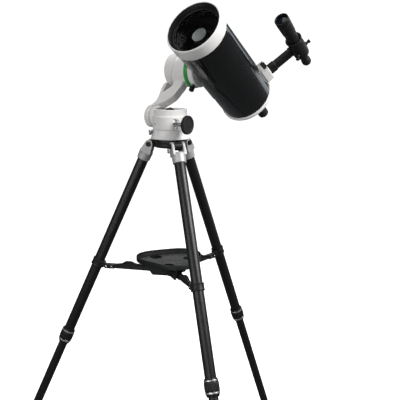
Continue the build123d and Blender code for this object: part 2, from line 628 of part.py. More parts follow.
def finder_body():
    """Objective cell and body tube; its waist is held in the collar by a rubber band."""
    outer = turned([(0, FINDER_BACK + 34), (11.0, FINDER_BACK + 34), (14.5, FINDER_BACK + 48), (14.5, STALK_Z + 12),
                    (18.4, STALK_Z + 18), (18.4, STALK_Z + 25), (16.1, STALK_Z + 30), (16.1, FINDER_FRONT - 58),
                    (17.5, FINDER_FRONT - 52), (19.0, FINDER_FRONT - 8), (19.0, FINDER_FRONT), (0, FINDER_FRONT)])
    bore = turned([(0, FINDER_BACK + 30), (9.0, FINDER_BACK + 30), (12.5, FINDER_BACK + 50), (12.5, FINDER_FRONT - 45),
                   (16.0, FINDER_FRONT - 20), (16.0, FINDER_FRONT + 1), (0, FINDER_FRONT + 1)])
    return Pos(FINDER_RHO, 0, 0) * (outer - bore)


def finder_lens():
    lens = rod(16.0, FINDER_FRONT - 12, FINDER_FRONT - 4) & (Pos(0, 0, FINDER_FRONT - 5 - 70) * Sphere(70))
    return Pos(FINDER_RHO, 0, 0) * lens


def finder_eyepiece():
    z = FINDER_BACK
    body = turned([(0, z + 4), (5.5, z + 4), (7.5, z), (10.5, z), (12.6, z + 5), (12.6, z + 16), (9.8, z + 22), (9.8, z + 33.7),
                   (8.9, z + 33.7), (8.9, z + 44), (0, z + 44)])
    return Pos(FINDER_RHO, 0, 0) * body


# ---- write every node ---------------------------------------------------------------------
save("tripod_hub", tripod_hub(), axis_frame)
save("hinge_bolts", hinge_bolts(), axis_frame)
save("centre_bolt", centre_bolt(), axis_frame)
for leg in LEG_AZIMUTHS:
    frame = leg_frame(leg)
    save(f"leg_{leg}_casting", leg_casting(), frame)
    save(f"leg_{leg}_upper_tube", upper_tube(), frame)
    save(f"leg_{leg}_lock_rings", lock_rings(), frame)
    save(f"leg_{leg}_lock_grip", lock_grip(), frame)
    save(f"leg_{leg}_lower_tube", lower_tube(), frame)
    save(f"leg_{leg}_foot", foot(leg), Location((0, 0, 0)))
    save(f"leg_{leg}_clamp", leg_clamp(), frame)
    save(f"spreader_arm_{leg}", spreader_arm(), radial_frame(leg))
save("tray", tray(), axis_frame)

save("az_base", az_base(), head_frame)
save("az_axle", az_axle(), head_frame)
save("az_clamp", az_clamp(), head_frame)
save("turning_head", turning_head(), head_frame)
save("az_worm", az_worm(), head_frame)
save("az_knob", az_knob(), head_frame)
save("arm", arm(), head_frame)
save("arm_pivot", arm_pivot(), head_frame)
save("alt_axle", alt_axle(), head_frame)
save("alt_worm", alt_worm(), head_frame)
save("alt_knob", alt_knob(), head_frame)
save("green_ring", green_ring(), head_frame)
save("saddle", saddle(), ota_frame)
save("saddle_knob", saddle_knob(), ota_frame)

save("dovetail", dovetail(), ota_frame)
save("main_tube", main_tube(), ota_frame)
save("front_ring", front_ring(), ota_frame)
save("corrector", corrector(), ota_frame)
save("retaining_ring", retaining_ring(), ota_frame)
save("secondary_mirror", secondary_mirror(), ota_frame)
save("rear_cell", rear_cell(), ota_frame)
save("primary_mirror", primary_mirror(), ota_frame)
save("baffle_tube", baffle_tube(), ota_frame)
save("focus_knob", focus_knob(), ota_frame)
save("visual_back", visual_back(), ota_frame)
save("back_screw", back_screw(), ota_frame)

save("finder_shoe", finder_shoe(), finder_frame)
save("shoe_screw", shoe_screw(), finder_frame)
save("finder_bracket", finder_bracket(), finder_frame)
save("finder_screws", finder_screws(), finder_frame)
save("finder_body", [finder_body(), finder_lens()], finder_frame)
save("finder_eyepiece", finder_eyepiece(), finder_frame)

print("azimuth axis", centre, "altitude axis at", alt_origin, "tube crossing", ota_origin, "aim", ota_aim)
print("pin out", PIN_OUT, PIN_Z, "lean", LEAN, "reach", REACH)
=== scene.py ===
import bpy
import bmesh
import json
from math import acos, atan2, cos, hypot, pi, radians, sin, sqrt, tan
from mathutils import Matrix, Vector


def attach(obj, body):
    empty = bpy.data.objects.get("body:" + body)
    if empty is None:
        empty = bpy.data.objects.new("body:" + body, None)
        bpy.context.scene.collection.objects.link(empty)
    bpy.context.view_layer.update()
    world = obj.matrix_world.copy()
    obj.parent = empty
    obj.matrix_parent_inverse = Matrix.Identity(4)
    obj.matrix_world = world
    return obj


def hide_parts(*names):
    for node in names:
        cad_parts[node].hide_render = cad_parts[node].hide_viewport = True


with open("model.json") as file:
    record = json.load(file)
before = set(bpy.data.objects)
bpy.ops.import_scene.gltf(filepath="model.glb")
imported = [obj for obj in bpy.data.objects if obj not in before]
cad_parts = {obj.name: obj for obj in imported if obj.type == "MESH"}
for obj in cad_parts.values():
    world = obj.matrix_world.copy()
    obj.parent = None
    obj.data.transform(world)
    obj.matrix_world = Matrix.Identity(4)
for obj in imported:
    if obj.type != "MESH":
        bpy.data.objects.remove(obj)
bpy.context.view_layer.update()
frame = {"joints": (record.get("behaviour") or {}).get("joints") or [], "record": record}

MM = 0.001
JOINTS = {j["name"]: j for j in frame["joints"]}
MOUNTS = {m["name"]: m for m in frame["record"]["mounts"]}
UP = Vector((0, 0, 1))
SHARP_ANGLE = radians(35)
WELD_GAP = 2e-6


# ---- frames: every piece is built in millimetres in one of these --------------------------
def frame_matrix(origin, x_axis, z_axis):
    x, z = Vector(x_axis).normalized(), Vector(z_axis).normalized()
    m = Matrix((x, z.cross(x), z)).transposed().to_4x4()
    m.translation = Vector(origin)
    return m


def joint_pos(name):
    return Vector(JOINTS[name]["pos_m"])


def joint_axis(name):
    return Vector(JOINTS[name]["axis"]).normalized()


def joint_in(matrix, name):
    """Where a joint is in a frame, in millimetres."""
    return matrix.inverted() @ joint_pos(name) / MM


HUB = joint_pos("azimuth")
AXIS = frame_matrix(HUB, (1, 0, 0), UP)
ALT_DIR = -joint_axis("altitude")
HEAD = frame_matrix(HUB, ALT_DIR, UP)
AIM = joint_axis("tube_slide")
TAIL = Vector(MOUNTS["eyepiece_bore"]["pos_m"])
ALT = joint_pos("altitude")
OTA_ORIGIN = TAIL - AIM * (TAIL - ALT).dot(AIM)
OTA = frame_matrix(OTA_ORIGIN, ALT_DIR, AIM)
FIN_X = joint_axis("finder_align").cross(AIM)
FINDER = frame_matrix(OTA_ORIGIN, FIN_X, AIM)
PIVOT = joint_pos("arm_tilt")
ARM_UP = (ALT - PIVOT).normalized()
ARM = frame_matrix(PIVOT, ALT_DIR, ARM_UP)
ALT_HEAD = frame_matrix(ALT, ALT_DIR, UP)
LEG, RADIAL = {}, {}
for leg in "abc":
    along = joint_axis(f"leg_{leg}_extend")
    across = joint_axis(f"leg_{leg}_fold").cross(along)
    LEG[leg] = frame_matrix(joint_pos(f"leg_{leg}_fold"), across, along)
    RADIAL[leg] = frame_matrix(HUB, joint_axis(f"leg_{leg}_fold").cross(UP), UP)

# sizes that the CAD states, in millimetres
TUBE_X = (OTA_ORIGIN - HUB).dot(ALT_DIR) / MM
REACH = (ALT - PIVOT).length / MM
LEAN = acos(ARM_UP.z)
BACK_BORE_R = MOUNTS["eyepiece_bore"]["dims"]["r_mm"]
BACK_END = (TAIL - OTA_ORIGIN).dot(AIM) / MM
CELL_BACK = BACK_END + MOUNTS["eyepiece_bore"]["dims"]["length_mm"]
FOCUS = joint_in(OTA, "focus_turn")
FINDER_RHO = joint_in(FINDER, "finder_align").x
PIN = joint_in(RADIAL["a"], "spreader_a_swing")
CLAMP_Z = joint_in(LEG["a"], "spreader_a_swing").z
AZ_WORM = joint_in(HEAD, "azimuth_slow_turn")
ALT_WORM = joint_in(ALT_HEAD, "altitude_slow_turn")
PIVOT_Z = joint_in(HEAD, "arm_tilt").z


# ---- mesh tools ---------------------------------------------------------------------------
def rounded(points, closed=False):
    """Turns (x, y, radius) corners into arcs; a point with no radius stays sharp."""
    out, n = [], len(points)
    for i, p in enumerate(points):
        b = Vector(p[:2])
        if len(p) < 3 or (not closed and i in (0, n - 1)):
            out.append((b.x, b.y))
            continue
        u = Vector(points[i - 1][:2]) - b
        v = Vector(points[(i + 1) % n][:2]) - b
        room = 0.49 * min(u.length, v.length)
        u.normalize()
        v.normalize()
        half = u.angle(v) / 2
        if half > pi / 2 - 0.01:
            out.append((b.x, b.y))
            continue
        back = min(p[2] / tan(half), room)
        r = back * tan(half)
        c = b + (u + v).normalized() * (r / sin(half))
        p0, p1 = b + u * back - c, b + v * back - c
        start = atan2(p0.y, p0.x)
        sweep = (atan2(p1.y, p1.x) - start + pi) % (2 * pi) - pi
        steps = max(2, int(abs(sweep) / radians(14)))
        for k in range(steps + 1):
            t = start + sweep * k / steps
            out.append((c.x + r * cos(t), c.y + r * sin(t)))
    return out


def raised(z, points):
    """Profile or outline points (across, height[, fillet]) with their heights measured from z."""
    return [(p[0], p[1] + z, *p[2:]) for p in points]


def lathe(profile, segments=96, closed=False, wave=None):
    """Turns (radius, z[, fillet]) points about Z.  wave(angle, radius, z) returns a new radius."""
    bm = bmesh.new()
    points = rounded(profile, closed)
    rings = []
    for r, z in points:
        if r < 1e-6:
            rings.append([bm.verts.new((0, 0, z))])
            continue
        ring = []
        for k in range(segments):
            t = 2 * pi * k / segments
            rr = wave(t, r, z) if wave else r
            ring.append(bm.verts.new((rr * cos(t), rr * sin(t), z)))
        rings.append(ring)
    pairs = list(zip(rings, rings[1:]))
    if closed:
        pairs.append((rings[-1], rings[0]))
    for lower, upper in pairs:
        for k in range(segments):
            n = (k + 1) % segments
            if len(lower) == 1:
                corners = [lower[0], upper[n], upper[k]]
            elif len(upper) == 1:
                corners = [lower[k], lower[n], upper[0]]
            else:
                corners = [lower[k], lower[n], upper[n], upper[k]]
            if len(set(corners)) > 2:
                bm.faces.new(corners)
    bmesh.ops.recalc_face_normals(bm, faces=bm.faces)
    return bm


def bevelled(bm, width, angle=30):
    """Rounds the edges that are sharper than an angle in degrees."""
    if width:
        edges = [e for e in bm.edges if len(e.link_faces) == 2 and e.calc_face_angle(0) > radians(angle)]
        bmesh.ops.bevel(
            bm, geom=edges, offset=width, segments=3, profile=0.5, affect="EDGES", clamp_overlap=True)
    return bm


def box(x0, x1, y0, y1, z0, z1, bevel=0.0):
    bm = bmesh.new()
    bmesh.ops.create_cube(bm, size=1.0)
    for v in bm.verts:
        v.co = Vector(((x0 + x1) / 2 + v.co.x * (x1 - x0), (y0 + y1) / 2 + v.co.y * (y1 - y0), (z0 + z1) / 2
                       + v.co.z * (z1 - z0)))
    return bevelled(bm, bevel)


def prism(outline, low, high, bevel=0.0, axis="Z"):
    """Extrudes a closed outline; for axis Y the outline is (x, z), for X it is (y, z)."""
    bm = bmesh.new()
    ends = [[bm.verts.new((x, y, h)) for x, y in rounded(outline, True)] for h in (low, high)]
    n = len(ends[0])
    bm.faces.new(ends[0][::-1])
    bm.faces.new(ends[1])
    for k in range(n):
        bm.faces.new((ends[0][k], ends[0][(k + 1) % n], ends[1][(k + 1) % n], ends[1][k]))
    bevelled(bm, bevel, angle=50)
    if axis == "Y":
        turn = Matrix(((1, 0, 0), (0, 0, 1), (0, 1, 0)))
    elif axis == "X":
        turn = Matrix(((0, 0, 1), (1, 0, 0), (0, 1, 0)))
    else:
        turn = Matrix.Identity(3)
    bmesh.ops.transform(bm, matrix=turn.to_4x4(), verts=bm.verts)
    bmesh.ops.recalc_face_normals(bm, faces=bm.faces)
    return bm


def moved(bm, x=0.0, y=0.0, z=0.0, along="Z", turn=0.0):
    """Lays a mesh's Z axis along X or Y, then turns it about Z and shifts it."""
    lay = {
        "X": Matrix.Rotation(pi / 2, 4, "Y"), "Y": Matrix.Rotation(-pi / 2, 4, "X"), "Z": Matrix.Identity(4)}
    m = Matrix.Translation((x, y, z)) @ Matrix.Rotation(turn, 4, "Z") @ lay[along]
    bmesh.ops.transform(bm, matrix=m, verts=bm.verts)
    return bm


def outward(bm, z, turn, x=0.0):
    """Points a mesh's Z axis away from the upright axis at x, at height z and a turn."""
    return moved(moved(bm, z=z, along="X"), x, turn=turn)


def turned(bm, angle, axis="X"):
    """Turns a mesh about one of its own axes; half a turn about X stands a screw head on its top."""
    bmesh.ops.rotate(bm, verts=bm.verts, cent=(0, 0, 0), matrix=Matrix.Rotation(angle, 3, axis))
    return bm


def rod(r, z0, z1, bevel=0.0, segments=64):
    return lathe([(0, z0), (r, z0, bevel), (r, z1, bevel), (0, z1)] if bevel
                 else [(0, z0), (r, z0), (r, z1), (0, z1)], segments)


def pipe(r, inner, z0, z1, bevel=0.3, segments=96):
    return lathe([(inner, z0, bevel), (r, z0, bevel), (r, z1, bevel), (inner, z1, bevel)], segments, True)


def joined(*meshes):
    whole = bmesh.new()
    for bm in meshes:
        part = bpy.data.meshes.new("part")
        bm.to_mesh(part)
        bm.free()
        whole.from_mesh(part)
        bpy.data.meshes.remove(part)
    return whole


def bake(obj):
    """Applies an object's modifiers to its mesh."""
    bpy.context.view_layer.update()
    mesh = bpy.data.meshes.new_from_object(obj.evaluated_get(bpy.context.evaluated_depsgraph_get()))
    obj.modifiers.clear()
    old = obj.data
    obj.data = mesh
    bpy.data.meshes.remove(old)


def loose_object(name, bm):
    mesh = bpy.data.meshes.new(name)
    bm.to_mesh(mesh)
    bm.free()
    obj = bpy.data.objects.new(name, mesh)
    bpy.context.scene.collection.objects.link(obj)
    return obj


def taken_mesh(body):
    """Gives an object's mesh back as a bmesh and removes the object."""
    out = bmesh.new()
    out.from_mesh(body.data)
    bpy.data.objects.remove(body, do_unlink=True)
    return out


def cut(bm, cutters, operation="DIFFERENCE"):
    """Cuts whole meshes away, or keeps what they share, with exact booleans."""
    body = loose_object("work", bm)
    for cutter in cutters:
        tool = loose_object("tool", cutter)
        mod = body.modifiers.new("cut", "BOOLEAN")
        mod.object, mod.operation, mod.solver = tool, operation, "EXACT"
        bake(body)
        bpy.data.objects.remove(tool, do_unlink=True)
    return taken_mesh(body)


def fused(bm, voxel=1.0, smooth=3):
    """Melts overlapping shapes into one casting with small fillets."""
    body = loose_object("work", bm)
    mod = body.modifiers.new("remesh", "REMESH")
    mod.mode, mod.voxel_size = "VOXEL", voxel
    mod = body.modifiers.new("smooth", "SMOOTH")
    mod.factor, mod.iterations = 0.5, smooth
    bake(body)
    return taken_mesh(body)


def piece(name, bm, matrix, body, material, replaced=None):
    """Finishes a mesh built in millimetres as a piece that rides on a body and may stand for a CAD node."""
    bmesh.ops.scale(bm, vec=(MM, MM, MM), verts=bm.verts)
    bmesh.ops.remove_doubles(bm, verts=bm.verts, dist=WELD_GAP)
    obj = loose_object(name, bm)
    obj.matrix_world = matrix
    obj.data.shade_smooth()
    obj.data.set_sharp_from_angle(angle=SHARP_ANGLE)
    obj.data.materials.append(material)
    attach(obj, body)
    if replaced:
        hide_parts(replaced)
    return obj


# ---- materials ----------------------------------------------------------------------------
class Graph:
    """A short way to write a node tree."""

    def __init__(self, name):
        self.material = bpy.data.materials.new(name)
        self.material.use_nodes = True
        self.tree = self.material.node_tree
        self.shader = self.tree.nodes["Principled BSDF"]
        self.coords = self.tree.nodes.new("ShaderNodeTexCoord").outputs["Object"]

    def node(self, kind, **values):
        n = self.tree.nodes.new(kind)
        for key, value in values.items():
            if hasattr(n, key):
                setattr(n, key, value)
            else:
                n.inputs[key.replace("_", " ")].default_value = value
        return n

    def link(self, a, b):
        self.tree.links.new(a, b)

    def noise(self, scale, detail=3.0, rough=0.55, stretch=(1, 1, 1)):
        mapping = self.node("ShaderNodeMapping")
        mapping.inputs["Scale"].default_value = stretch
        self.link(self.coords, mapping.inputs["Vector"])
        n = self.node("ShaderNodeTexNoise", Scale=scale, Detail=detail, Roughness=rough)
        self.link(mapping.outputs["Vector"], n.inputs["Vector"])
        return n.outputs["Fac"]

    def spread(self, fac, low, high, lo=0.0, hi=1.0):
        n = self.node("ShaderNodeMapRange")
        for key, value in zip(("From Min", "From Max", "To Min", "To Max"), (low, high, lo, hi)):
            n.inputs[key].default_value = value
        self.link(fac, n.inputs["Value"])
        return n.outputs["Result"]

    def mix(self, fac, a, b):
        n = self.node("ShaderNodeMix", data_type="RGBA")
        for socket, value in ((n.inputs["Factor"], fac), (n.inputs[6], a), (n.inputs[7], b)):
            if isinstance(value, tuple):
                socket.default_value = (*value, 1.0)
            else:
                self.link(value, socket)
        return n.outputs[2]

    def bump(self, height, distance, strength=1.0):
        n = self.node("ShaderNodeBump", Distance=distance, Strength=strength)
        self.link(height, n.inputs["Height"])
        return n.outputs["Normal"]

    def set(self, **values):
        for key, value in values.items():
            socket = self.shader.inputs[key.replace("_", " ")]
            if isinstance(value, tuple) and len(value) == 3:
                value = (*value, 1.0)
            if isinstance(value, (int, float, tuple)):
                socket.default_value = value
            else:
                self.link(value, socket)


def painted(name, colour, shade, rough, grain=1400.0, depth=0.00004, coat=0.0, coat_rough=0.1, shine=0.5):
    """Powder-coated or painted metal: orange-peel skin, faint tone changes, duller and brighter patches."""
    g = Graph(name)
    tone = g.spread(g.noise(14.0, 4.0), 0.3, 0.7)
    fine = g.noise(grain, 2.0, 0.6)
    speck = g.spread(g.noise(grain * 0.8, 1.0), 0.68, 0.74)
    body = g.mix(tone, colour, shade)
    g.set(Base_Color=g.mix(speck, body, tuple(c * 0.86 for c in colour)))
    g.set(Roughness=g.spread(g.noise(40.0, 5.0, 0.65), 0.3, 0.7, rough - 0.06, rough + 0.08))
    g.set(Normal=g.bump(fine, depth), Coat_Weight=coat, Coat_Roughness=coat_rough, Specular_IOR_Level=shine)
    return g.material


def metal(name, colour, rough, stretch=(1, 1, 1), lines=900.0, depth=0.00001, metallic=1.0):
    """Turned, brushed or cast metal; the grain runs along the axis whose stretch is small."""
    g = Graph(name)
    streak = g.noise(lines, 3.0, 0.6, stretch)
    cloud = g.spread(g.noise(22.0, 4.0), 0.3, 0.7)
    dark = tuple(c * 0.82 for c in colour)
    g.set(Base_Color=g.mix(cloud, colour, dark), Metallic=metallic)
    g.set(Roughness=g.spread(streak, 0.3, 0.7, max(0.04, rough - 0.07), rough + 0.09))
    g.set(Normal=g.bump(streak, depth))
    return g.material


def moulded(name, colour, rough, grain=1100.0, depth=0.00006, dust=0.25):
    """Moulded plastic or rubber: pebbled skin with a little grey dust in it."""
    g = Graph(name)
    cells = g.node("ShaderNodeTexVoronoi", feature="SMOOTH_F1", Scale=grain)
    g.link(g.coords, cells.inputs["Vector"])
    skin = cells.outputs["Distance"]
    cloud = g.spread(g.noise(30.0, 5.0, 0.7), 0.35, 0.75, 0.0, dust)
    g.set(Base_Color=g.mix(cloud, colour, tuple(c * 1.6 + 0.006 for c in colour)))
    g.set(Roughness=g.spread(g.noise(60.0, 4.0), 0.3, 0.7, rough - 0.06, rough + 0.07))
    g.set(Normal=g.bump(skin, depth, 0.7), Specular_IOR_Level=0.3)
    return g.material


WHITE = painted("white powder coat", (0.83, 0.815, 0.80), (0.79, 0.775, 0.755), 0.36, 1500.0, 0.00005)
GLOSS = painted("black gloss enamel", (0.0035, 0.0037, 0.0042), (0.0055, 0.0053, 0.005), 0.3, 500.0,
                0.000004, 1.0, 0.07, 0.1)
LEG_BLACK = metal("black anodised tube", (0.007, 0.0068, 0.0065), 0.4, (1, 1, 0.02), 700.0, 0.000008, 0.1)
SATIN = painted(
    "black satin paint", (0.009, 0.009, 0.009), (0.013, 0.0125, 0.012), 0.42, 1300.0, 0.00005, shine=0.3)
FLOCK = painted("flat black inside", (0.004, 0.004, 0.004), (0.006, 0.006, 0.006), 0.85, 2500.0, 0.0001)
CAST = metal("silver cast aluminium", (0.52, 0.52, 0.51), 0.48, (1, 1, 1), 1300.0, 0.00004, 0.35)
STEEL = metal("turned steel", (0.74, 0.74, 0.73), 0.34, (0.05, 0.05, 1), 2500.0, 0.000006)
CHROME = metal("chromed steel", (0.78, 0.78, 0.78), 0.12, (1, 1, 1), 300.0, 0.000003)
BRASS = metal("turned brass", (0.72, 0.53, 0.25), 0.3, (0.05, 0.05, 1), 2500.0, 0.000006)
GREEN = metal("green anodised aluminium", (0.07, 0.42, 0.10), 0.32, (1, 0.05, 0.05), 1800.0, 0.000006, 0.45)
PLASTIC = moulded("black moulded plastic", (0.009, 0.009, 0.009), 0.42)
TRAY_PLASTIC = moulded("black tray plastic", (0.008, 0.0085, 0.009), 0.5, 900.0, 0.00008, 0.2)
RUBBER = moulded("black rubber", (0.010, 0.010, 0.010), 0.62, 1600.0, 0.00008, 0.4)


def glass_material():
    g = Graph("coated glass")
    film = g.spread(g.noise(9.0, 2.0), 0.35, 0.65)
    g.set(Base_Color=g.mix(film, (0.93, 0.97, 0.95), (0.90, 0.95, 0.97)), Roughness=0.0, IOR=1.12,
          Transmission_Weight=1.0)
    return g.material


def painted_shade_glass_material():
    """A small objective drawn as opaque near-black glass: painted shade for the dark barrel behind it, with
    a faint coloured coating.
    """
    g = Graph("objective with painted shade")
    film = g.spread(g.noise(40.0, 2.0), 0.35, 0.65)
    g.set(Base_Color=g.mix(film, (0.004, 0.006, 0.010), (0.006, 0.005, 0.010)), Roughness=0.05,
          Specular_IOR_Level=0.3)
    return g.material


def mirror_material():
    g = Graph("aluminised mirror")
    haze = g.noise(50.0, 3.0)
    g.set(Base_Color=g.mix(g.spread(haze, 0.3, 0.7), (0.30, 0.31, 0.33), (0.26, 0.27, 0.29)), Metallic=1.0)
    g.set(Roughness=g.spread(haze, 0.3, 0.7, 0.03, 0.08))
    return g.material


GLASS = glass_material()
# opaque near-black lens glass: painted shade standing in for the dark inside of the finder
PAINTED_SHADE_GLASS = painted_shade_glass_material()
MIRROR = mirror_material()
SPOT = metal("aluminised spot seen through the glass", (0.62, 0.62, 0.62), 0.38, (1, 1, 1), 120.0, 0.000002)


# ---- small hardware -----------------------------------------------------------------------
def socket_head(r, height, hex_r, depth):
    """Cap screw head standing on z = 0, with a hexagon socket."""
    head = lathe([(0, 0), (r, 0), (r, height, r * 0.18), (0, height)], 48)
    hexagon = [(hex_r * cos(k * pi / 3), hex_r * sin(k * pi / 3)) for k in range(6)]
    return cut(head, [prism(hexagon, height - depth, height + 1)])


def two_tone(obj, material, test):
    """Gives a second material to the faces whose centre, in millimetres, passes a test."""
    obj.data.materials.append(material)
    for face in obj.data.polygons:
        if test(face.center / MM):
            face.material_index = 1


def knurl(count, depth, low, high, floor):
    """Rounded teeth between two heights for whatever lies outside the floor radius."""
    def wave(t, r, z):
        if r < floor or not low <= z <= high:
            return r
        return r - depth * (0.5 - 0.5 * cos(count * t)) ** 1.5
    return wave


# ---- tripod -------------------------------------------------------------------------------
HINGE_R, LUG_HALF = 55.5, 11.0
UPPER_R, LOWER_R = 14.65, 12.45
UPPER_END, LOCK_TOP, LOWER_TOP = -632.0, -594.0, -500.0
FOOT_CENTRE, FOOT_R = -1084.0, 16.0
TRAY_R, TRAY_LOBE, TRAY_STEPS = 88.0, 9.0, 144
TRAY_FLOOR, HOLE_PLACE_R, HOLE_R, HOLE_TURN = -322.0, 54.0, 16.2, radians(26.5)
LEG_AZIMUTH = {leg: atan2(RADIAL[leg][1][0], RADIAL[leg][0][0]) for leg in "abc"}


def build_hub():
    disc = lathe([(0, -8), (43.8, -8, 5), (43.8, 2.4, 0.6), (42.6, 3), (42.6, 5), (43.8, 5.6, 0.6),
                  (43.8, 14.8, 0.8), (0, 14.8)], 128)
    slots, lugs = [], []
    for leg in "abc":
        a = LEG_AZIMUTH[leg]
        ring = cut(box(43.6, 80, -30, 30, -20, 16), [box(20, 90, -LUG_HALF, LUG_HALF, -30, 30)])
        slots.append(moved(ring, turn=a))
        bar = joined(box(36, HINGE_R, -LUG_HALF, LUG_HALF, -8, 10.9, 1.2),
                     moved(rod(10.9, -LUG_HALF, LUG_HALF, 1), HINGE_R, 0, 0, "Y"))
        lugs.append(moved(bar, turn=a))
    disc = cut(disc, slots)
    hub = cut(fused(joined(disc, *lugs), 0.9, 2), [rod(4.9, -20, 20)])
    piece("tripod_hub_body", hub, AXIS, "base", SATIN, "tripod_hub")
    for leg in "abc":
        for side in (-1, 1):
            cap = socket_head(6.5, 4, 2.4, 2.2)
            if side < 0:
                turned(cap, pi)
            cap = moved(cap, HINGE_R, side * 18.7, 0, "Y")
            piece(f"hinge_cap_{leg}_{'l' if side < 0 else 'r'}", cap, RADIAL[leg], "base", PLASTIC,
                  "hinge_bolts" if leg == "a" and side < 0 else None)
        shank = moved(rod(4, -18.8, 18.8), HINGE_R, 0, 0, "Y")
        piece(f"hinge_shank_{leg}", shank, RADIAL[leg], "base", STEEL)
    grip = lathe([(0, -25), (8.5, -25, 1.5), (8.5, -12, 0.8), (6.5, -9.5, 0.6), (6.5, -8.3), (0, -8.3)], 96,
                 wave=knurl(16, 0.9, -23, -13, 8))
    stud = rod(4.76, -9, 30)
    piece("mount_bolt_grip", joined(grip, stud), AXIS, "mount_bolt", STEEL, "centre_bolt")


def build_knuckle(leg):
    """Casting that hinges on the hub, and the upper tube in it."""
    m, body = LEG[leg], f"leg_{leg}"
    sleeve = lathe([(0, -46), (17.6, -46, 1.2), (18.5, -24, 8), (16.5, -17, 3), (0, -17)])
    ears = []
    for side in (-1, 1):
        outline = [(-11.2, 0), (-13.6, -14, 6), (-14, -26), (14, -26), (13.6, -14, 6), (11.2, 0)]
        top = [(11.2 * cos(t * pi / 16), 11.2 * sin(t * pi / 16)) for t in range(1, 16)]
        ear = prism(outline + top, 11.4, 18.4, 1, "Y")
        if side < 0:
            bmesh.ops.scale(ear, vec=(1, -1, 1), verts=ear.verts)
            bmesh.ops.reverse_faces(ear, faces=ear.faces)
        ears.append(ear)
    casting = fused(joined(sleeve, *ears), 0.8, 3)
    gap = LUG_HALF + 0.3
    cutters = [box(-30, 30, -gap, gap, -19.4, 40), rod(UPPER_R + 0.02, -60, -22),
               box(-30, -9, -7, 7, -60, -24), moved(rod(4.06, -30, 30), along="Y")]
    piece(f"leg_{leg}_knuckle", cut(casting, cutters), m, body, CAST, f"leg_{leg}_casting")
    tube = pipe(UPPER_R, 13.45, UPPER_END, -22)
    piece(f"leg_{leg}_upper", tube, m, body, LEG_BLACK, f"leg_{leg}_upper_tube")


def build_lock(leg):
    """Two bright rings and the knurled grip between them."""
    m, body = LEG[leg], f"leg_{leg}"
    collar = raised(LOCK_TOP,
                    [(UPPER_R, -8), (18.6, -8, 0.6), (18.6, -4.2, 0.6), (17.4, -4), (17, -3, 0.8),
                     (16.4, 0, 0.6), (UPPER_R, 0)])
    low = lathe(
        [(LOWER_R + 0.3, -640), (15.4, -640, 0.8), (17.2, -635, 1), (17.4, -632.6), (18.6, -632.4, 0.5),
         (18.6, -628, 0.6), (UPPER_R, -628), (UPPER_R, -632), (LOWER_R + 0.3, -632)], 96, True)
    obj = piece(
        f"lock_{leg}_rings", joined(lathe(collar, 96, True), low), m, body, STEEL, f"leg_{leg}_lock_rings")
    two_tone(obj, PLASTIC, lambda p: p.z > LOCK_TOP - 4.2 or p.z < -632.5)
    z0, z1 = -627.7, LOCK_TOP - 8.3
    grip = lathe([(UPPER_R + 0.3, z0), (18.3, z0, 1), (19.4, z0 + 5, 2), (19.4, z1 - 5, 2), (18.3, z1, 1),
                  (UPPER_R + 0.3, z1)], 216, True, wave=knurl(18, 1.1, z0 + 3, z1 - 3, 17))
    piece(f"lock_{leg}_barrel", grip, m, f"lock_{leg}", PLASTIC, f"leg_{leg}_lock_grip")


def build_lower_leg(leg):
    """Lower tube, and a ribbed rubber foot that is cut flat at the floor."""
    m, body = LEG[leg], f"lower_leg_{leg}"
    lower = pipe(LOWER_R, 11.45, FOOT_CENTRE + 4, LOWER_TOP)
    piece(f"leg_{leg}_lower", lower, m, body, LEG_BLACK, f"leg_{leg}_lower_tube")
    foot = [(FOOT_R * sin(k * pi / 12), -FOOT_R * cos(k * pi / 12)) for k in range(7)]
    for z in (6, 12, 18, 24):
        foot += [(FOOT_R, z, 0.5), (FOOT_R - 0.9, z + 1, 0.5), (FOOT_R - 0.9, z + 2.2, 0.5),
                 (FOOT_R, z + 3.2, 0.5)]
    foot += [(FOOT_R, 34, 2), (13.6, 40, 1), (LOWER_R, 40), (LOWER_R, 4), (0, 4)]
    rubber = lathe(raised(FOOT_CENTRE, foot), 96)
    ground = m.inverted() @ Vector((0, 0, 0)) / MM
    down = (m.inverted().to_3x3() @ -UP).normalized()
    sliced = bmesh.ops.bisect_plane(rubber, geom=rubber.verts[:] + rubber.edges[:] + rubber.faces[:],
                                    plane_co=ground, plane_no=down, clear_outer=True)
    edges = [e for e in sliced["geom_cut"] if isinstance(e, bmesh.types.BMEdge)]
    bmesh.ops.contextual_create(rubber, geom=edges)
    piece(f"leg_{leg}_rubber_foot", rubber, m, body, RUBBER, f"leg_{leg}_foot")


def build_clamp(leg):
    """Band with the lug that a spreader arm hinges on, and its bright pin."""
    m, body, z = LEG[leg], f"leg_{leg}", CLAMP_Z
    band = [(UPPER_R - 0.6, -10), (18, -10, 1), (18, -6.5, 0.5), (17.2, -5.5, 0.5), (17.2, 5.5, 0.5),
            (18, 6.5, 0.5), (18, 10, 1), (UPPER_R - 0.6, 10)]
    pin_x = joint_in(m, f"spreader_{leg}_swing").x
    lug = joined(
        box(pin_x, -14, -3.9, 3.9, z - 6.8, z + 6.8, 1), moved(rod(6.8, -3.9, 3.9, 0.8), pin_x, 0, z, "Y"),
        box(-19.5, -13, -9, 9, z - 8.5, z + 8.5, 1.5))
    clamp = cut(
        fused(joined(lathe(raised(z, band), 96, True), lug), 0.8, 2), [rod(UPPER_R + 0.02, z - 20, z + 20)])
    piece(f"leg_{leg}_band", clamp, m, body, PLASTIC, f"leg_{leg}_clamp")
    rivets = []
    for side in (-1, 1):
        head = lathe([(0, 0), (2.9, 0), (2.9, 0.8, 0.5), (0, 1.3)], 32)
        if side < 0:
            turned(head, pi)
        rivets.append(moved(head, pin_x, side * 8, z, "Y"))
    rivets.append(moved(rod(2.9, -8.05, 8.05), pin_x, 0, z, "Y"))
    piece(f"leg_{leg}_pin", joined(*rivets), m, body, CHROME)


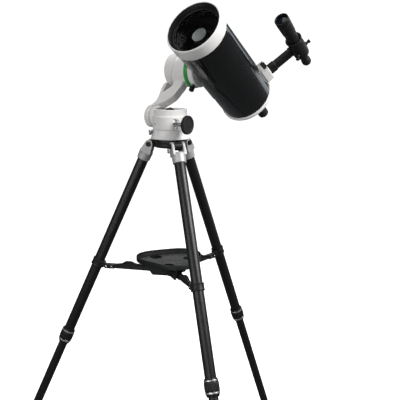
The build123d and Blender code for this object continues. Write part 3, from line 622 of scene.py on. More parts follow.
def build_spreader(leg):
    """Deep moulded arm: a web with thicker edges, a fork at the clamp, and a bright rivet."""
    x1, z = PIN.x, PIN.z
    outline = [(36, -9, 3), (x1 - 26, -6, 10), (x1 - 9, -6.4, 2), (x1 - 9, 6.4, 2), (x1 - 22, 6.6, 5),
               (x1 - 44, 9, 8), (x1 - 56, 16, 4), (x1 - 72, 16, 4), (x1 - 86, 10, 10), (36, 9, 3)]
    blade = prism(raised(z, outline), -3.9, 3.9, 0.8, "Y")
    inner = raised(
        z, [(44, -6, 2), (x1 - 30, -3.2, 3), (x1 - 30, 3.6, 3), (x1 - 47, 6.2, 3), (x1 - 58, 12.5, 3),
            (x1 - 70, 12.5, 3), (x1 - 84, 6.6, 3), (44, 6, 2)])
    cuts = [prism(inner, 1.6, 9, 0, "Y"), prism(inner, -9, -1.6, 0, "Y")]
    fork = joined(box(x1 - 24, x1, -8, 8, z - 6.4, z + 6.4, 1), moved(rod(6.4, -8, 8, 0.6), x1, 0, z, "Y"))
    body = cut(blade, cuts)
    body = fused(joined(body, fork), 0.7, 2)
    body = cut(
        body, [box(x1 - 9.8, x1 + 20, -4.3, 4.3, z - 20, z + 20), moved(rod(3.05, -20, 20), x1, 0, z, "Y")])
    piece(f"spreader_{leg}_blade", body, RADIAL[leg], f"spreader_{leg}", PLASTIC, f"spreader_arm_{leg}")
    rivet = joined(lathe([(0, -8.9), (2.4, -8.9, 0.6), (2.9, -7.9), (0, -7.9)], 32),
                   lathe([(0, 7.9), (2.9, 7.9), (2.4, 8.9, 0.6), (0, 8.9)], 32))
    rivet = moved(rivet, x1 - 16, 0, z, "Y")
    piece(f"spreader_{leg}_rivet", rivet, RADIAL[leg], f"spreader_{leg}", CHROME)


def tray_curve(shrink):
    """The tray's three-lobed outline, drawn in by shrink."""
    points = []
    for k in range(TRAY_STEPS):
        t = 2 * pi * k / TRAY_STEPS
        r = TRAY_R - shrink + TRAY_LOBE * cos(3 * (t - LEG_AZIMUTH["a"]))
        points.append((r * cos(t), r * sin(t)))
    return points


def build_tray():
    """Dished tray with a rolled rim, three eyepiece holes with raised lips, and the boss for the arms."""
    bm = bmesh.new()
    z = TRAY_FLOOR
    section = raised(
        z, [(0.8, 0), (0, 1), (0, 12.6), (0.6, 13.8), (1.6, 14), (2.4, 13), (2.6, 6), (3.4, 3.6),
            (5.6, 2.4)])
    rings = [[bm.verts.new((x, y, h)) for x, y in tray_curve(shrink)] for shrink, h in section]
    n = len(rings[0])
    for low, high in zip(rings, rings[1:]):
        for k in range(n):
            bm.faces.new((low[k], low[(k + 1) % n], high[(k + 1) % n], high[k]))
    bm.faces.new(rings[0][::-1])
    bm.faces.new(rings[-1])
    bmesh.ops.recalc_face_normals(bm, faces=bm.faces)
    holes, lips = [], []
    for leg in "abc":
        a = LEG_AZIMUTH[leg] - HOLE_TURN
        x, y = HOLE_PLACE_R * cos(a), HOLE_PLACE_R * sin(a)
        holes.append(moved(rod(HOLE_R, z - 2, z + 6), x, y))
        lip = raised(z, [(HOLE_R, -11, 0.4), (17.6, -11, 0.4), (17.8, 2), (17.6, 3, 0.4), (HOLE_R, 3, 0.4)])
        lips.append(moved(lathe(lip, 64, True), x, y))
    dish = cut(bm, holes)
    under = [rod(12.8, PIN.z - 18, z + 1, 0.8)]
    for leg in "abc":
        for side in (-1, 1):
            y0, y1 = sorted((side * 4.35, side * 6.8))
            outline = [(8, z + 1), (83.5, z + 1), (52, PIN.z - 18, 5), (8, PIN.z - 18)]
            under.append(moved(prism(outline, y0, y1, 0.5, "Y"), turn=LEG_AZIMUTH[leg]))
    piece("tray_dish", joined(dish, *lips, *under), AXIS, "tray", TRAY_PLASTIC, "tray")


build_hub()
for leg in "abc":
    build_knuckle(leg)
    build_lock(leg)
    build_lower_leg(leg)
    build_clamp(leg)
    build_spreader(leg)
build_tray()


# ---- mount --------------------------------------------------------------------------------
HEAD_R, HEAD_TOP, BASE_TOP = 46.3, 90.9, 39.3
AZ_KNOB_X, AZ_KNOB_R = 72.0, 24.0
WORM_R, WORM_CORE_R, WORM_PITCH = 7.0, 5.4, 3.4
ARM_OUT, BOSS_X = -66.0, -50.0
ALT_R, ALT_CAP_R = 43.2, 45.6
SADDLE_R, SADDLE_X0, SADDLE_X1, SADDLE_KNOB_X = 43.5, 12.4, 28.0, 20.4
AZ_CLAMP_Z, AZ_CLAMP_TURN = 32.0, radians(235)


def build_base():
    base = lathe([(0, 14.8), (51.6, 14.8, 0.8), (51.6, 17.6, 1.2), (48.6, 23.5, 6), (HEAD_R, 32.8, 8),
                  (HEAD_R, BASE_TOP, 0.8), (0, BASE_TOP)], 160)
    hole = outward(rod(4.05, 40, 60), AZ_CLAMP_Z, AZ_CLAMP_TURN)
    base = cut(base, [hole, rod(10, 31, 60), rod(4.8, 0, 60)])
    piece("azimuth_base", base, HEAD, "base", WHITE, "az_base")
    wheel = lathe([(0, 50), (20.7, 50, 0.5), (20.7, 61, 0.5), (0, 61)], 216, wave=knurl(36, 1, 49, 62, 15))
    post = lathe(
        [(0, 31), (10, 31), (10, 80), (15, 80, 0.6), (15, 83.5, 1), (12.2, 87.5, 6), (8, 92, 6), (0, 95)])
    piece("azimuth_wheel", wheel, HEAD, "base", BRASS)
    piece("azimuth_post", post, HEAD, "base", SATIN, "az_axle")
    screw = lathe([(0, 41), (4, 41, 0.5), (4, 48.4), (7, 48.5, 0.8), (7, 57.6, 1.2), (4.6, 58, 0.5),
                   (4.2, 57.2), (0, 57.2)], 96, wave=knurl(24, 0.5, 49.5, 56.5, 6.2))
    piece("azimuth_clamp_screw", outward(screw, AZ_CLAMP_Z, AZ_CLAMP_TURN), HEAD, "azimuth_clamp", CHROME,
          "az_clamp")


def build_turning_head():
    body = lathe([(0, BASE_TOP + 0.3), (HEAD_R, BASE_TOP + 0.3, 0.8), (HEAD_R, 73.5, 0.8), (43.4, 74.2, 0.5),
                  (43.4, HEAD_TOP, 1), (40, HEAD_TOP), (0, HEAD_TOP)], 160)
    boss = moved(lathe([(0, 0), (28.5, 0, 2.2), (28.5, 22), (0, 22)], 128), BOSS_X, 0, PIVOT_Z, "X")
    shell = fused(joined(body, boss), 1, 3)
    wy, wz = AZ_WORM.y, AZ_WORM.z
    cutters = [
        lathe([(0, 78), (28, 78, 1), (28, 88), (29.2, 89.5, 1), (37.5, 89.5, 0.5), (38.2, 92), (0, 92)],
              128), rod(38, BASE_TOP - 5, 66), rod(10.3, 0, 100), moved(rod(13, 33.5, 70), 0, wy, wz, "X"),
        box(33.5, 70, wy - 13, wy + 13, 42, wz), moved(rod(6.05, -60, -36), 0, 0, PIVOT_Z, "X")]
    shell = cut(shell, cutters)
    bearings = []
    for x0, x1, half, low, high in ((-40, -18, 9, -26, 0), (24, 34, 12, 20, 60)):
        bearing = box(x0, x1, wy - half, wy + half, 44, 66.5)
        bearing = cut(bearing, [moved(rod(4.06, low, high), 0, wy, wz, "X")])
        bearings.append(cut(bearing, [rod(39, 30, 80)], "INTERSECT"))
    piece("turning_head_shell", joined(shell, *bearings), HEAD, "head", WHITE, "turning_head")
    # grub screws in the side, then the pivot's bolt
    for k, (turn, z) in enumerate(((-112, 54), (-20, 54), (100, 60))):
        grub = lathe([(0, HEAD_R - 2), (2.2, HEAD_R - 2), (2.2, HEAD_R + 0.15, 0.3), (1.2, HEAD_R + 0.15),
                      (1.2, HEAD_R - 1.4), (0, HEAD_R - 1.4)], 32)
        piece(f"head_grub_{k}", outward(grub, z, radians(turn)), HEAD, "head", SATIN)
    bolt = moved(turned(socket_head(10.6, 7.4, 4.2, 5), pi), ARM_OUT - 0.35, 0, PIVOT_Z, "X")
    shank = moved(rod(5.98, ARM_OUT - 1, -38), 0, 0, PIVOT_Z, "X")
    piece("arm_pivot_bolt", joined(bolt, shank), HEAD, "head", CHROME, "arm_pivot")


def worm_shaft(start, end, collar_low, collar_high):
    """Shaft along Z with a square-grooved worm in its middle and a thrust collar."""
    points = [(0, start), (4, start, 0.3), (4, -14)]
    for k in range(8):
        z = -14 + WORM_PITCH * k
        points += [(WORM_R, z), (WORM_R, z + 1.6), (WORM_CORE_R, z + 1.8), (WORM_CORE_R, z + 3.2)]
    points += [(WORM_R, 13.4), (WORM_R, 14), (4, 14)]
    points += [(4, collar_low), (6.2, collar_low, 0.8), (6.2, collar_high, 0.8), (4, collar_high)]
    return lathe(points + [(4, end, 0.3), (0, end)], 64)


def toothed_knob(x0, x1, r, count, depth, neck, neck_r):
    """Slow-motion knob: fine tooth edge, dished face, rounded neck."""
    return lathe([(0, neck), (neck_r, neck, 1), (neck_r, x0 - 0.2, 1), (r - 1.5, x0, 1), (r, x0 + 1.4, 1),
                  (r, x1 - 1.6, 1), (r - 2, x1, 1.2), (r - 5, x1 - 0.2, 1), (r - 6.5, x1 - 1.4, 1),
                  (6, x1 - 1), (5.5, x1 - 0.4, 0.5), (0, x1 - 0.4)], count * 6,
                 wave=knurl(count, depth, x0 + 0.4, x1 - 0.6, r - 1.2))


def build_worms():
    wy, wz = AZ_WORM.y, AZ_WORM.z
    worm = worm_shaft(-25, AZ_KNOB_X + 7.9, 34.4, 56)
    piece("azimuth_worm", moved(worm, 0, wy, wz, "X"), HEAD, "azimuth_slow", CHROME, "az_worm")
    knob = toothed_knob(AZ_KNOB_X, AZ_KNOB_X + 9, AZ_KNOB_R, 48, 1.1, AZ_KNOB_X - 8, 9)
    piece("azimuth_knob", moved(knob, 0, wy, wz, "X"), HEAD, "azimuth_slow", RUBBER, "az_knob")
    x, z = ALT_WORM.x, ALT_WORM.z
    worm = worm_shaft(-20, 73.9, 45.5, 54)
    piece("altitude_worm", moved(worm, x, 0, z, "Y"), ALT_HEAD, "altitude_slow", CHROME, "alt_worm")
    knob = toothed_knob(64, 76, 20, 40, 1.1, 56, 8)
    piece("altitude_knob", moved(knob, x, 0, z, "Y"), ALT_HEAD, "altitude_slow", RUBBER, "alt_knob")


def build_arm():
    """One casting: dog-bone plate, capped head, and a strut from the boss to the head's underside."""
    plate = moved(lathe([(0, 0), (29.5, 0, 2.5), (29.5, 15.7, 0.8), (0, 15.7)], 128), ARM_OUT, 0, 0, "X")
    outline = [(-25, 6, 20), (-6, 48, 40), (-14, REACH - 42, 30), (33, REACH - 30, 30), (19.5, 46, 40),
               (27.5, 6, 20)]
    waist = prism(outline, ARM_OUT, ARM_OUT + 10, 1.6, "X")
    cap = moved(
        lathe([(0, ARM_OUT), (ALT_CAP_R, ARM_OUT, 7), (ALT_CAP_R, -10), (0, -10)], 160), 0, 0, REACH, "X")
    slant = moved(turned(box(0, 150, -90, 90, -160, 160), radians(16.5), "Y"), -37.5)
    cap = cut(cap, [moved(turned(slant, LEAN), z=REACH)])
    sleeve = moved(lathe([(0, -60), (ALT_R, -60), (ALT_R, 0.7, 1), (0, 0.7)], 160), 0, 0, REACH, "X")
    strut = [(-58, 8), (-50.4, 8), (-50.4, 29.5), (-30, 44, 22), (-13, 62, 22), (-8, 80, 18), (-3, 96, 10),
             (-3, REACH - 34), (-36, REACH - 34), (-34, 94, 14), (-57, 66, 16)]
    rib = prism(strut, -11, 11, 2, "Y")
    shell = fused(joined(plate, waist, cap, sleeve, rib), 1, 3)
    cutters = [moved(rod(6.06, ARM_OUT - 5, -40), along="X"), moved(rod(12.06, -52, 10), 0, 0, REACH, "X"),
               moved(rod(26, -26, -10), 0, 0, REACH, "X"),
               moved(pipe(60, ALT_R - 0.7, -7.2, -5.6, 0), 0, 0, REACH, "X")]
    for hole in (rod(7.6, -17, 26), rod(4.06, -22, 60)):
        hole = moved(hole, ALT_WORM.x, 0, ALT_WORM.z, "Y")
        cutters.append(moved(turned(hole, LEAN), z=REACH))
    piece("arm_casting", cut(shell, cutters), ARM, "arm", WHITE, "arm")
    for k, (y, z) in enumerate(((20, 8), (-20, 8), (0, -21))):
        screw = turned(socket_head(3.4, 1.6, 1.6, 1.2), pi)
        piece(f"arm_screw_{k}", moved(screw, ARM_OUT + 0.1, y, z, "X"), ARM, "arm", CHROME)


def build_saddle():
    shaft = lathe([(0, -50), (12, -50, 0.6), (12, SADDLE_X0), (0, SADDLE_X0)], 64)
    wheel = lathe(
        [(0, -24), (24, -24, 0.4), (24, -12, 0.4), (0, -12)], 252, wave=knurl(42, 0.9, -25, -11, 20))
    piece("altitude_axle", moved(joined(shaft, wheel), along="X"), ALT_HEAD, "saddle", BRASS, "alt_axle")
    ring = lathe(
        [(12, 1), (45, 1, 0.4), (45.7, 1.8, 0.4), (45.7, 4.2, 0.2), (45.2, 4.5, 0.2), (45.2, 4.9, 0.2),
         (45.7, 5.2, 0.2), (45.7, 11.6, 0.4), (45, 12.4, 0.4), (12, 12.4)], 160, True)
    piece("altitude_green_ring", moved(ring, along="X"), ALT_HEAD, "saddle", GREEN, "green_ring")
    x0, x1, knob_x = SADDLE_X0 - TUBE_X, SADDLE_X1 - TUBE_X, SADDLE_KNOB_X - TUBE_X
    disc = moved(lathe([(0, x0), (43, x0, 0.4), (SADDLE_R, x0 + 0.9, 0.4), (SADDLE_R, x0 + 7.5, 0.3),
                        (42.7, x0 + 8, 0.3), (42.7, x0 + 9.2, 0.3), (SADDLE_R, x0 + 9.7, 0.3),
                        (SADDLE_R, x1 - 2.4, 1.2), (40.8, x1, 1.2), (0, x1)], 160), along="X")
    slot = [(DOVE_X - 0.05, -22.05), (DOVE_X + 19.3, -19.05), (DOVE_X + 19.3, 19.05), (DOVE_X - 0.05, 22.05)]
    hole = moved(rod(3.06, -60, -20), knob_x, 0, 0, "Y")
    disc = cut(disc, [prism(slot, -100, 100), hole])
    piece("saddle_disc", disc, OTA, "saddle", WHITE, "saddle")
    screw = lathe(
        [(0, -63), (5.8, -63, 1), (7, -61.8, 1), (7, -52.4, 1), (6, -51, 1), (5.2, -51), (5.2, -46, 0.5),
         (3, -46), (3, -22.4, 0.5), (0, -22.4)], 120, wave=knurl(12, 1.1, -62, -52, 5.6))
    piece("saddle_clamp_knob", moved(screw, knob_x, 0, 0, "Y"), OTA, "saddle_screw", PLASTIC, "saddle_knob")
    collar = moved(pipe(5.6, 5.1, -50.6, -46.4, 0.2), knob_x, 0, 0, "Y")
    piece("saddle_clamp_collar", collar, OTA, "saddle_screw", CHROME)


DOVE_X = 19.0 - TUBE_X
build_base()
build_turning_head()
build_worms()
build_arm()
build_saddle()


# ---- optical tube -------------------------------------------------------------------------
FRONT, RING_BACK, RING_R, OPENING_R, SEAT_R = 184.8, 150.8, 73.8, 70.0, 67.0
TUBE_R, TUBE_INNER, REAR = 70.5, 69.3, -114.6
PLUG_R = TUBE_INNER - 0.05
GROOVES, GROOVE_PITCH = 6, 1.9
LENS_EDGE, LENS_R, LENS_CURVE, LENS_THICK, SPOT_R = 158.8, 63.8, 240.0, 10.0, 19.0
MIRROR_R, MIRROR_CURVE, BAFFLE_R = 63.0, 420.0, 16.0
REAR_SCREW_R, BACK_SCREW_Z, BACK_SCREW_TURN = 55.0, BACK_END + 7, radians(100)


def flat_r(p):
    """Distance of a point from the Z axis."""
    return hypot(p.x, p.y)


def bowl(r, z, curve):
    """Height at radius r of a spherical face whose lowest point is at z."""
    return z + curve - sqrt(curve ** 2 - r ** 2)


def build_tube():
    """Black barrel and white front ring, grooved inside its mouth."""
    tube = pipe(TUBE_R, TUBE_INNER, REAR, RING_BACK, 0.2, 256)
    obj = piece("tube_barrel", tube, OTA, "tube", GLOSS, "main_tube")
    two_tone(obj, FLOCK, lambda p: flat_r(p) < TUBE_INNER + 0.3)
    mouth = [(OPENING_R, FRONT - 0.7, 0.3)]
    for k in range(GROOVES):
        z = FRONT - 2.4 - GROOVE_PITCH * k
        mouth += [
            (OPENING_R, z), (OPENING_R + 0.45, z - 0.35), (OPENING_R + 0.45, z - 0.9), (OPENING_R, z - 1.25)]
    ring = [(61.5, RING_BACK - 10), (PLUG_R, RING_BACK - 10), (PLUG_R, RING_BACK),
            (RING_R - 0.7, RING_BACK, 0.3), (RING_R, RING_BACK + 0.8, 0.4), (RING_R, FRONT - 2.6, 1.5),
            (RING_R - 1.5, FRONT, 0.9), (OPENING_R + 0.8, FRONT, 0.4)]
    ring += mouth + [
        (OPENING_R, FRONT - 13.8), (SEAT_R, FRONT - 13.8), (SEAT_R, LENS_EDGE), (61.5, LENS_EDGE)]
    obj = piece("tube_front_ring", lathe(ring, 256, True), OTA, "tube", WHITE, "front_ring")
    two_tone(obj, SATIN, lambda p: flat_r(p) < OPENING_R + 0.6 and p.z < FRONT - 0.5)


def build_corrector():
    """Retaining ring, deep meniscus lens, and the mirrored spot with its shade behind it."""
    z = LENS_EDGE + LENS_THICK
    rim = raised(
        z, [(61, 0), (SEAT_R, 0), (SEAT_R, 2.2, 0.3), (64.6, 2.2), (64.2, 1.7), (63.6, 1.7), (63.2, 2.2),
            (61.9, 2.2, 0.3), (61, 1.3)])
    notches = [moved(box(-1.1, 1.1, 61.5, 68, z + 1.2, z + 4), turn=turn) for turn in (0, pi)]
    piece("tube_lens_ring", cut(lathe(rim, 256, True), notches), OTA, "tube", SATIN, "retaining_ring")
    low = LENS_EDGE - bowl(LENS_R, 0, LENS_CURVE)
    steps = [LENS_R * k / 24 for k in range(25)]
    lens = [(r, bowl(r, low, LENS_CURVE)) for r in steps]
    lens += [(r, bowl(r, low, LENS_CURVE) + LENS_THICK) for r in reversed(steps)]
    piece("tube_corrector", lathe(lens, 192), OTA, "tube", GLASS, "corrector")
    steps = [SPOT_R * k / 8 for k in range(9)]
    spot = [(0, low - 1), (SPOT_R, low - 1, 0.2)]
    spot += [(r, bowl(r, low, LENS_CURVE) - 0.03) for r in reversed(steps)]
    piece("tube_spot", lathe(spot, 128), OTA, "tube", SPOT, "secondary_mirror")
    shade = lathe([(SPOT_R + 0.02, low - 16), (SPOT_R + 1.4, low - 16, 0.3),
                   (SPOT_R + 1.6, bowl(SPOT_R + 1.6, low, LENS_CURVE) - 0.05),
                   (SPOT_R + 0.02, bowl(SPOT_R, low, LENS_CURVE) - 0.05)], 128, True)
    piece("tube_spot_baffle", shade, OTA, "tube", FLOCK)


def build_mirror():
    """Main mirror on its sliding carrier, the focus nut and the baffle tube."""
    steps = [BAFFLE_R + 0.3 + (MIRROR_R - BAFFLE_R - 0.3) * k / 20 for k in range(21)]
    face = [(r, bowl(r, REAR + 20, MIRROR_CURVE)) for r in reversed(steps) if r > 22]
    mirror = [
        (BAFFLE_R + 0.3, REAR + 2), (22, REAR + 2, 0.5), (22, REAR + 8), (MIRROR_R, REAR + 8, 0.8)] + face
    mirror += [(22, REAR + 21), (22, REAR + 30, 0.5), (BAFFLE_R + 0.3, REAR + 30)]
    obj = piece("tube_mirror", lathe(mirror, 192, True), OTA, "mirror", MIRROR, "primary_mirror")
    two_tone(obj, SATIN, lambda p: flat_r(p) < 22.3 or p.z < REAR + 9)
    carrier = cut(rod(8, REAR + 2, REAR + 8.5, 0.5, 48), [rod(3.3, REAR, REAR + 12)])
    piece("tube_mirror_nut", moved(carrier, FOCUS.x, FOCUS.y), OTA, "mirror", BRASS)
    baffle = [(BAFFLE_R - 1.3, CELL_BACK), (24, CELL_BACK, 0.4), (24, CELL_BACK + 5),
              (BAFFLE_R, CELL_BACK + 8, 1), (BAFFLE_R, 62, 0.4), (BAFFLE_R - 1.3, 62, 0.4)]
    piece("tube_baffle", lathe(baffle, 128, True), OTA, "tube", FLOCK, "baffle_tube")


def build_back():
    """White rear cell with its three screws."""
    z = CELL_BACK
    cell = raised(
        z, [(24.02, 0), (64.5, 0, 1), (66, 0.6, 1), (73.2, 5.2, 3.5), (73.2, 11.4, 0.5), (71.3, 12.2, 0.3),
            (71.3, 12.9, 0.2), (71.6, 13.3, 0.2)])
    cell += [
        (71.6, REAR, 0.3), (PLUG_R, REAR), (PLUG_R, REAR + 12), (66, REAR + 12), (66, z + 5), (24.02, z + 5)]
    holes = [moved(rod(5.06, z - 4, z + 9), FOCUS.x, FOCUS.y)]
    places = [(REAR_SCREW_R * cos(radians(t)), REAR_SCREW_R * sin(radians(t))) for t in (30, 150, 270)]
    holes += [moved(rod(3.6, z - 4, z + 1.4), x, y) for x, y in places]
    obj = piece("tube_rear_cell", cut(lathe(cell, 256, True), holes), OTA, "tube", WHITE, "rear_cell")
    two_tone(obj, FLOCK, lambda p: p.z > z + 4.5 and flat_r(p) < 66.5)
    for k, (x, y) in enumerate(places):
        screw = turned(socket_head(3.3, 1.9, 1.7, 1.3), pi)
        piece(f"rear_screw_{k}", moved(screw, x, y, z + 1.4), OTA, "tube", SATIN)


def build_focuser():
    z = CELL_BACK
    knob = raised(
        z, [(0, -35.2), (9, -35.2, 0.6), (9.6, -36, 0.6), (12.4, -36, 1.2), (14, -34, 1.2), (14, -11.5, 1.5),
            (12.6, -9.6, 1.5), (9.5, -6, 2), (9.5, -0.3, 0.3), (5, -0.3), (5, 7, 0.3), (3, 7)])
    knob += [(3, REAR + 4, 0.3), (0, REAR + 4)]
    knob = lathe(knob, 216, wave=knurl(27, 0.9, z - 33.5, z - 12, 12.8))
    piece("focus_wheel", moved(knob, FOCUS.x, FOCUS.y), OTA, "focus", RUBBER, "focus_knob")


def build_visual_back():
    r, z = BACK_BORE_R, CELL_BACK
    back = raised(
        z, [(r, 0), (23.5, 0), (23.5, -8.6, 0.6), (22.7, -9.6, 0.4), (21.2, -10.6, 0.6), (20.4, -11.6, 0.3),
            (20.4, -13.4, 0.3), (21, -14, 0.3)])
    back += [(21, BACK_END, 0.7), (r, BACK_END, 0.5)]
    back = lathe(back, 216, True, wave=knurl(54, 0.5, z - 8.2, z - 1, 22.8))
    hole = outward(rod(2.06, 10, 30), BACK_SCREW_Z, BACK_SCREW_TURN)
    piece("tube_visual_back", cut(back, [hole]), OTA, "tube", SATIN, "visual_back")
    screw = lathe([(0, r + 0.6), (2, r + 0.6, 0.3), (2, 24), (4.4, 24, 0.5), (5, 25, 0.5), (5, 32, 0.5),
                   (4.2, 33, 0.5), (0, 33)], 144, wave=knurl(24, 0.5, 25.2, 31.8, 4.4))
    piece("visual_back_screw", outward(screw, BACK_SCREW_Z, BACK_SCREW_TURN), OTA, "back_screw", CHROME,
          "back_screw")


def build_dovetail():
    outline = [(DOVE_X, -22, 0.8), (DOVE_X + 19.3, -19), (DOVE_X + 19.3, 19), (DOVE_X, 22, 0.8)]
    bar = prism(outline, -104, 126, 0.7)
    groove = prism([(DOVE_X - 1, -6), (DOVE_X + 1, -5), (DOVE_X + 1, 5), (DOVE_X - 1, 6)], -90, 112)
    bar = cut(bar, [rod(TUBE_R + 0.02, -200, 200, 0, 256), groove])
    pads = []
    for z in (-94, 112):
        pad = cut(
            box(30 - TUBE_X, -60, -13.8, 13.8, z, z + 14, 0.8), [rod(TUBE_R + 0.02, -200, 200, 0, 256)])
        pads.append(pad)
    screws = [moved(turned(socket_head(4.4, 1.6, 2, 1.4), pi), DOVE_X + 1.7, 0, z, "X") for z in (-87, 119)]
    piece("tube_dovetail", joined(bar, *pads), OTA, "tube", SATIN, "dovetail")
    piece("tube_dovetail_screws", joined(*screws), OTA, "tube", STEEL)


build_tube()
build_corrector()
build_mirror()
build_back()
build_focuser()
build_visual_back()
build_dovetail()


# ---- finder -------------------------------------------------------------------------------
SHOE_BACK, SHOE_FRONT, SHOE_NEAR, SHOE_FAR, SHOE_TOP = -115.0, -72.0, -16.0, 20.0, 91.0
STALK_Z, FINDER_BACK, FINDER_FRONT, COLLAR_R = -96.1, -169.1, 17.4, 18.5
SHOE_SCREW_X, SHOE_SCREW_Z = 83.0, -92.0
FINDER_LENS_R, FINDER_CURVE = 15.98, 70.0
SCREW_TURNS = [radians(turn) for turn in (0, 130, 230)]


def build_shoe():
    outline = [(60, SHOE_NEAR), (SHOE_TOP, SHOE_NEAR, 4), (SHOE_TOP, SHOE_FAR, 5), (60, SHOE_FAR)]
    block = prism(outline, SHOE_BACK, SHOE_FRONT, 1.2)
    cutters = [rod(71.32, -200, 200, 0, 256),
               box(79, 87.2, SHOE_NEAR + 4.5, SHOE_FAR - 3, SHOE_BACK + 5, SHOE_FRONT + 5),
               box(87, 99, SHOE_NEAR + 7.5, SHOE_FAR - 6, SHOE_BACK + 5, SHOE_FRONT + 5),
               moved(rod(2.56, 15, 36), SHOE_SCREW_X, 0, SHOE_SCREW_Z, "Y")]
    piece("finder_shoe_block", cut(block, cutters), FINDER, "tube", WHITE, "finder_shoe")
    screw = lathe([(0, 17.1), (2.5, 17.1, 0.4), (2.5, 25), (5.2, 25, 0.5), (6, 26, 0.8), (6, 33, 0.8),
                   (5.2, 34, 0.8), (0, 34)], 144, wave=knurl(24, 0.6, 26.4, 32.6, 5.4))
    piece("finder_shoe_screw", moved(screw, SHOE_SCREW_X, 0, SHOE_SCREW_Z, "Y"), FINDER, "shoe_screw",
          PLASTIC, "shoe_screw")
    ring = moved(lathe([(4, 23.4), (6.6, 23.4, 0.4), (6.6, 25, 0.4), (4, 25)], 64, True), SHOE_SCREW_X, 0,
                 SHOE_SCREW_Z, "Y")
    piece("finder_shoe_washer", ring, FINDER, "shoe_screw", CHROME)


def build_bracket():
    z = STALK_Z
    low, high = SHOE_NEAR + 4.7, SHOE_FAR - 3.2
    foot = prism(
        [(79.2, low), (87, low), (87, low + 3), (SHOE_TOP + 0.5, low + 3), (SHOE_TOP + 0.5, high - 3),
         (87, high - 3), (87, high), (79.2, high)], SHOE_BACK + 8, SHOE_FRONT - 1, 0.4)
    stalk = box(87, FINDER_RHO - 18, -7.6, 7.6, z - 11, z + 11, 1.8)
    root = box(SHOE_TOP + 0.6, 111, -8.6, 8.6, z - 12.6, z + 12.6, 1.8)
    collar = moved(lathe([(18, -32), (20.2, -32, 1), (21.5, -20, 6), (21.5, 8, 6), (20.5, 24, 3),
                          (22.5, 29, 1), (22.5, 32, 0.8), (18, 32)], 128, True), FINDER_RHO, 0, z)
    parts, cutters = [stalk, root, collar], [moved(rod(COLLAR_R, z - 40, z + 40, 0, 128), FINDER_RHO)]
    for turn in SCREW_TURNS:
        parts.append(outward(rod(4.6, 19.5, 26, 0.8, 48), z - 12, turn, FINDER_RHO))
        cutters.append(outward(rod(2.05, 10, 32), z - 12, turn, FINDER_RHO))
    body = cut(fused(joined(*parts), 0.8, 2), cutters)
    grooves = [box(116, FINDER_RHO - 24, side * 7.1, side * 9, z - 4.5, z + 4.5, 0) for side in (-1, 1)]
    piece("finder_bracket_casting", joined(cut(body, grooves), foot), FINDER, "tube", SATIN,
          "finder_bracket")
    heads = []
    for turn in SCREW_TURNS:
        screw = lathe([(0, 15.5), (2, 15.5, 0.3), (2, 27), (3.4, 27, 0.4), (4.6, 29.5, 0.5), (5, 34, 0.6),
                       (4, 35, 0.6), (0, 35)], 96, wave=knurl(16, 0.5, 29.6, 34, 4))
        heads.append(outward(screw, z - 12, turn, FINDER_RHO))
    piece("finder_thumbscrews", joined(*heads), FINDER, "tube", PLASTIC, "finder_screws")


def build_finder():
    z, back, front = STALK_Z, FINDER_BACK, FINDER_FRONT
    outer = [(9, back + 34), (11, back + 34, 0.4), (14.5, back + 48, 2), (14.5, z + 12, 1),
             (18.4, z + 18, 1.5), (18.4, z + 25, 1.5), (16.1, z + 30, 2), (16.1, front - 58, 4),
             (17.5, front - 52, 4), (18.9, front - 15.5, 0.3), (18.4, front - 15, 0.2),
             (18.4, front - 14.2, 0.2), (18.9, front - 13.7, 0.3), (19, front, 1.2), (16.4, front, 0.5)]
    bore = [(16, front - 0.6), (16, front - 4), (16.02, front - 12.4), (15.2, front - 20),
            (12.5, front - 45, 1), (12.5, back + 50, 1), (9, back + 36)]
    tube = lathe(outer + bore, 160, True)
    obj = piece("finder_barrel", moved(tube, FINDER_RHO), FINDER, "finder", PLASTIC, "finder_body")
    two_tone(obj, FLOCK, lambda p: hypot(p.x - FINDER_RHO, p.y) < 15.99 and back + 37 < p.z < front - 1)
    steps = [FINDER_LENS_R * k / 12 for k in range(13)]
    lens = [(0, front - 12), (FINDER_LENS_R, front - 12)]
    lens += [(r, front - 5 - FINDER_CURVE + sqrt(FINDER_CURVE ** 2 - r ** 2)) for r in reversed(steps)]
    # objective drawn opaque near-black: painted shade of the unlit barrel behind it
    piece("finder_objective", moved(lathe(lens, 96), FINDER_RHO), FINDER, "finder", PAINTED_SHADE_GLASS)
    eye = [(0, 4), (5.5, 4, 0.4), (7.5, 0, 0.6), (10, 0, 2.5), (12.6, 5, 3)]
    for ridge in (7.2, 10.2, 13.2):
        eye += [(12.6, ridge, 0.3), (12, ridge + 0.5, 0.2), (12, ridge + 1.3, 0.2), (12.6, ridge + 1.8, 0.3)]
    eye += [(12.6, 16.5, 1), (9.8, 22, 2), (9.8, 33.6, 0.4), (8.9, 33.7), (8.9, 44, 0.3), (0, 44)]
    cup = moved(lathe(raised(back, eye), 128), FINDER_RHO)
    piece("finder_eyecup", cup, FINDER, "finder_eyepiece", RUBBER, "finder_eyepiece")
    glass = lathe(raised(back, [(0, 2.8), (5.4, 3.4), (5.4, 4.2), (0, 4.2)]), 48)
    # eye lens drawn opaque near-black: painted shade of the dark barrel behind it
    piece("finder_eye_lens", moved(glass, FINDER_RHO), FINDER, "finder_eyepiece", PAINTED_SHADE_GLASS)


build_shoe()
build_bracket()
build_finder()


# ---- floor, light and camera --------------------------------------------------------------
def stage_floor():
    bm = bmesh.new()
    bmesh.ops.create_circle(bm, cap_ends=True, radius=9.0, segments=96)
    floor = loose_object("floor", bm)
    g = Graph("pale floor")
    tone = g.spread(g.noise(1.2, 3.0), 0.3, 0.7)
    g.set(Base_Color=g.mix(tone, (0.80, 0.80, 0.80), (0.78, 0.78, 0.785)), Roughness=0.9,
          Emission_Color=(1.0, 1.0, 1.0), Emission_Strength=1.05)
    floor.data.materials.append(g.material)
    floor.visible_glossy = False
    floor.visible_diffuse = False


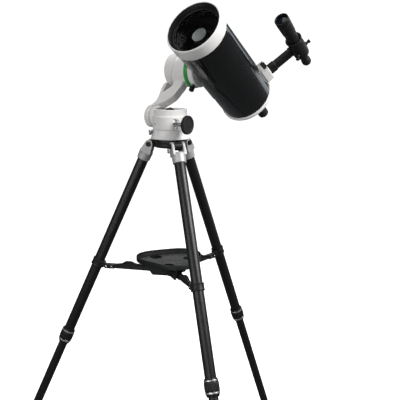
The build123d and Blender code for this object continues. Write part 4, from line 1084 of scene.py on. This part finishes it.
def soft_box(name, offset, width, height, power, colour=(1.0, 1.0, 1.0)):
    """A rectangular lamp that faces the head from an offset in metres."""
    light = bpy.data.lights.new(name, "AREA")
    light.shape = "RECTANGLE"
    light.size, light.size_y = width, height
    light.energy, light.color = power, colour
    target = HUB + Vector((0.05, 0, 0.1))
    obj = bpy.data.objects.new(name, light)
    obj.location = target + Vector(offset)
    obj.rotation_euler = (target - obj.location).to_track_quat("-Z", "Y").to_euler()
    bpy.context.scene.collection.objects.link(obj)


def stage_lights():
    soft_box("key", (1.9, -1.9, 1.6), 1.4, 1.4, 128)
    soft_box("fill", (-2.6, -1.2, 0.6), 1.8, 1.8, 30)
    soft_box("top", (-0.2, 0.2, 2.6), 1.8, 1.8, 20)
    soft_box("back", (0.8, 2.6, 1.0), 2.0, 1.2, 12)
    soft_box("right strip", (2.5, 0.9, 0.3), 0.8, 2.2, 6, (0.85, 0.93, 1.0))
    soft_box("left strip", (-1.6, -2.4, -0.4), 0.3, 2.0, 12)


def stage_world():
    """White where the camera sees it, and a dim cool room for everything else."""
    world = bpy.data.worlds.new("studio")
    world.use_nodes = True
    tree = world.node_tree
    tree.nodes.clear()
    mix = tree.nodes.new("ShaderNodeMixShader")
    path = tree.nodes.new("ShaderNodeLightPath")
    tree.links.new(path.outputs["Is Camera Ray"], mix.inputs[0])
    for socket, colour, strength in ((1, (0.92, 0.96, 1.0, 1.0), 0.12), (2, (1.0, 1.0, 1.0, 1.0), 1.1)):
        background = tree.nodes.new("ShaderNodeBackground")
        background.inputs["Color"].default_value = colour
        background.inputs["Strength"].default_value = strength
        tree.links.new(background.outputs[0], mix.inputs[socket])
    out = tree.nodes.new("ShaderNodeOutputWorld")
    tree.links.new(mix.outputs[0], out.inputs["Surface"])
    bpy.context.scene.world = world


def stage_camera():
    turn, dip = radians(19.6123), radians(15.324)
    ahead = Vector((sin(turn) * cos(dip), cos(turn) * cos(dip), -sin(dip)))
    right = ahead.cross(UP).normalized()
    m = Matrix((right, right.cross(ahead), -ahead)).transposed().to_4x4()
    m.translation = Vector((-0.61181, -1.71766, 1.23603))
    data = bpy.data.cameras.new("camera")
    data.lens, data.sensor_width = 65.958, 36.0
    data.shift_x, data.shift_y = 0.0334, 0.13
    camera = bpy.data.objects.new("camera", data)
    camera.matrix_world = m
    bpy.context.scene.collection.objects.link(camera)
    bpy.context.scene.camera = camera


stage_floor()
stage_lights()
stage_world()
stage_camera()
view = bpy.context.scene.view_settings
view.view_transform, view.look, view.exposure, view.gamma = "Standard", "None", 0.0, 1.0
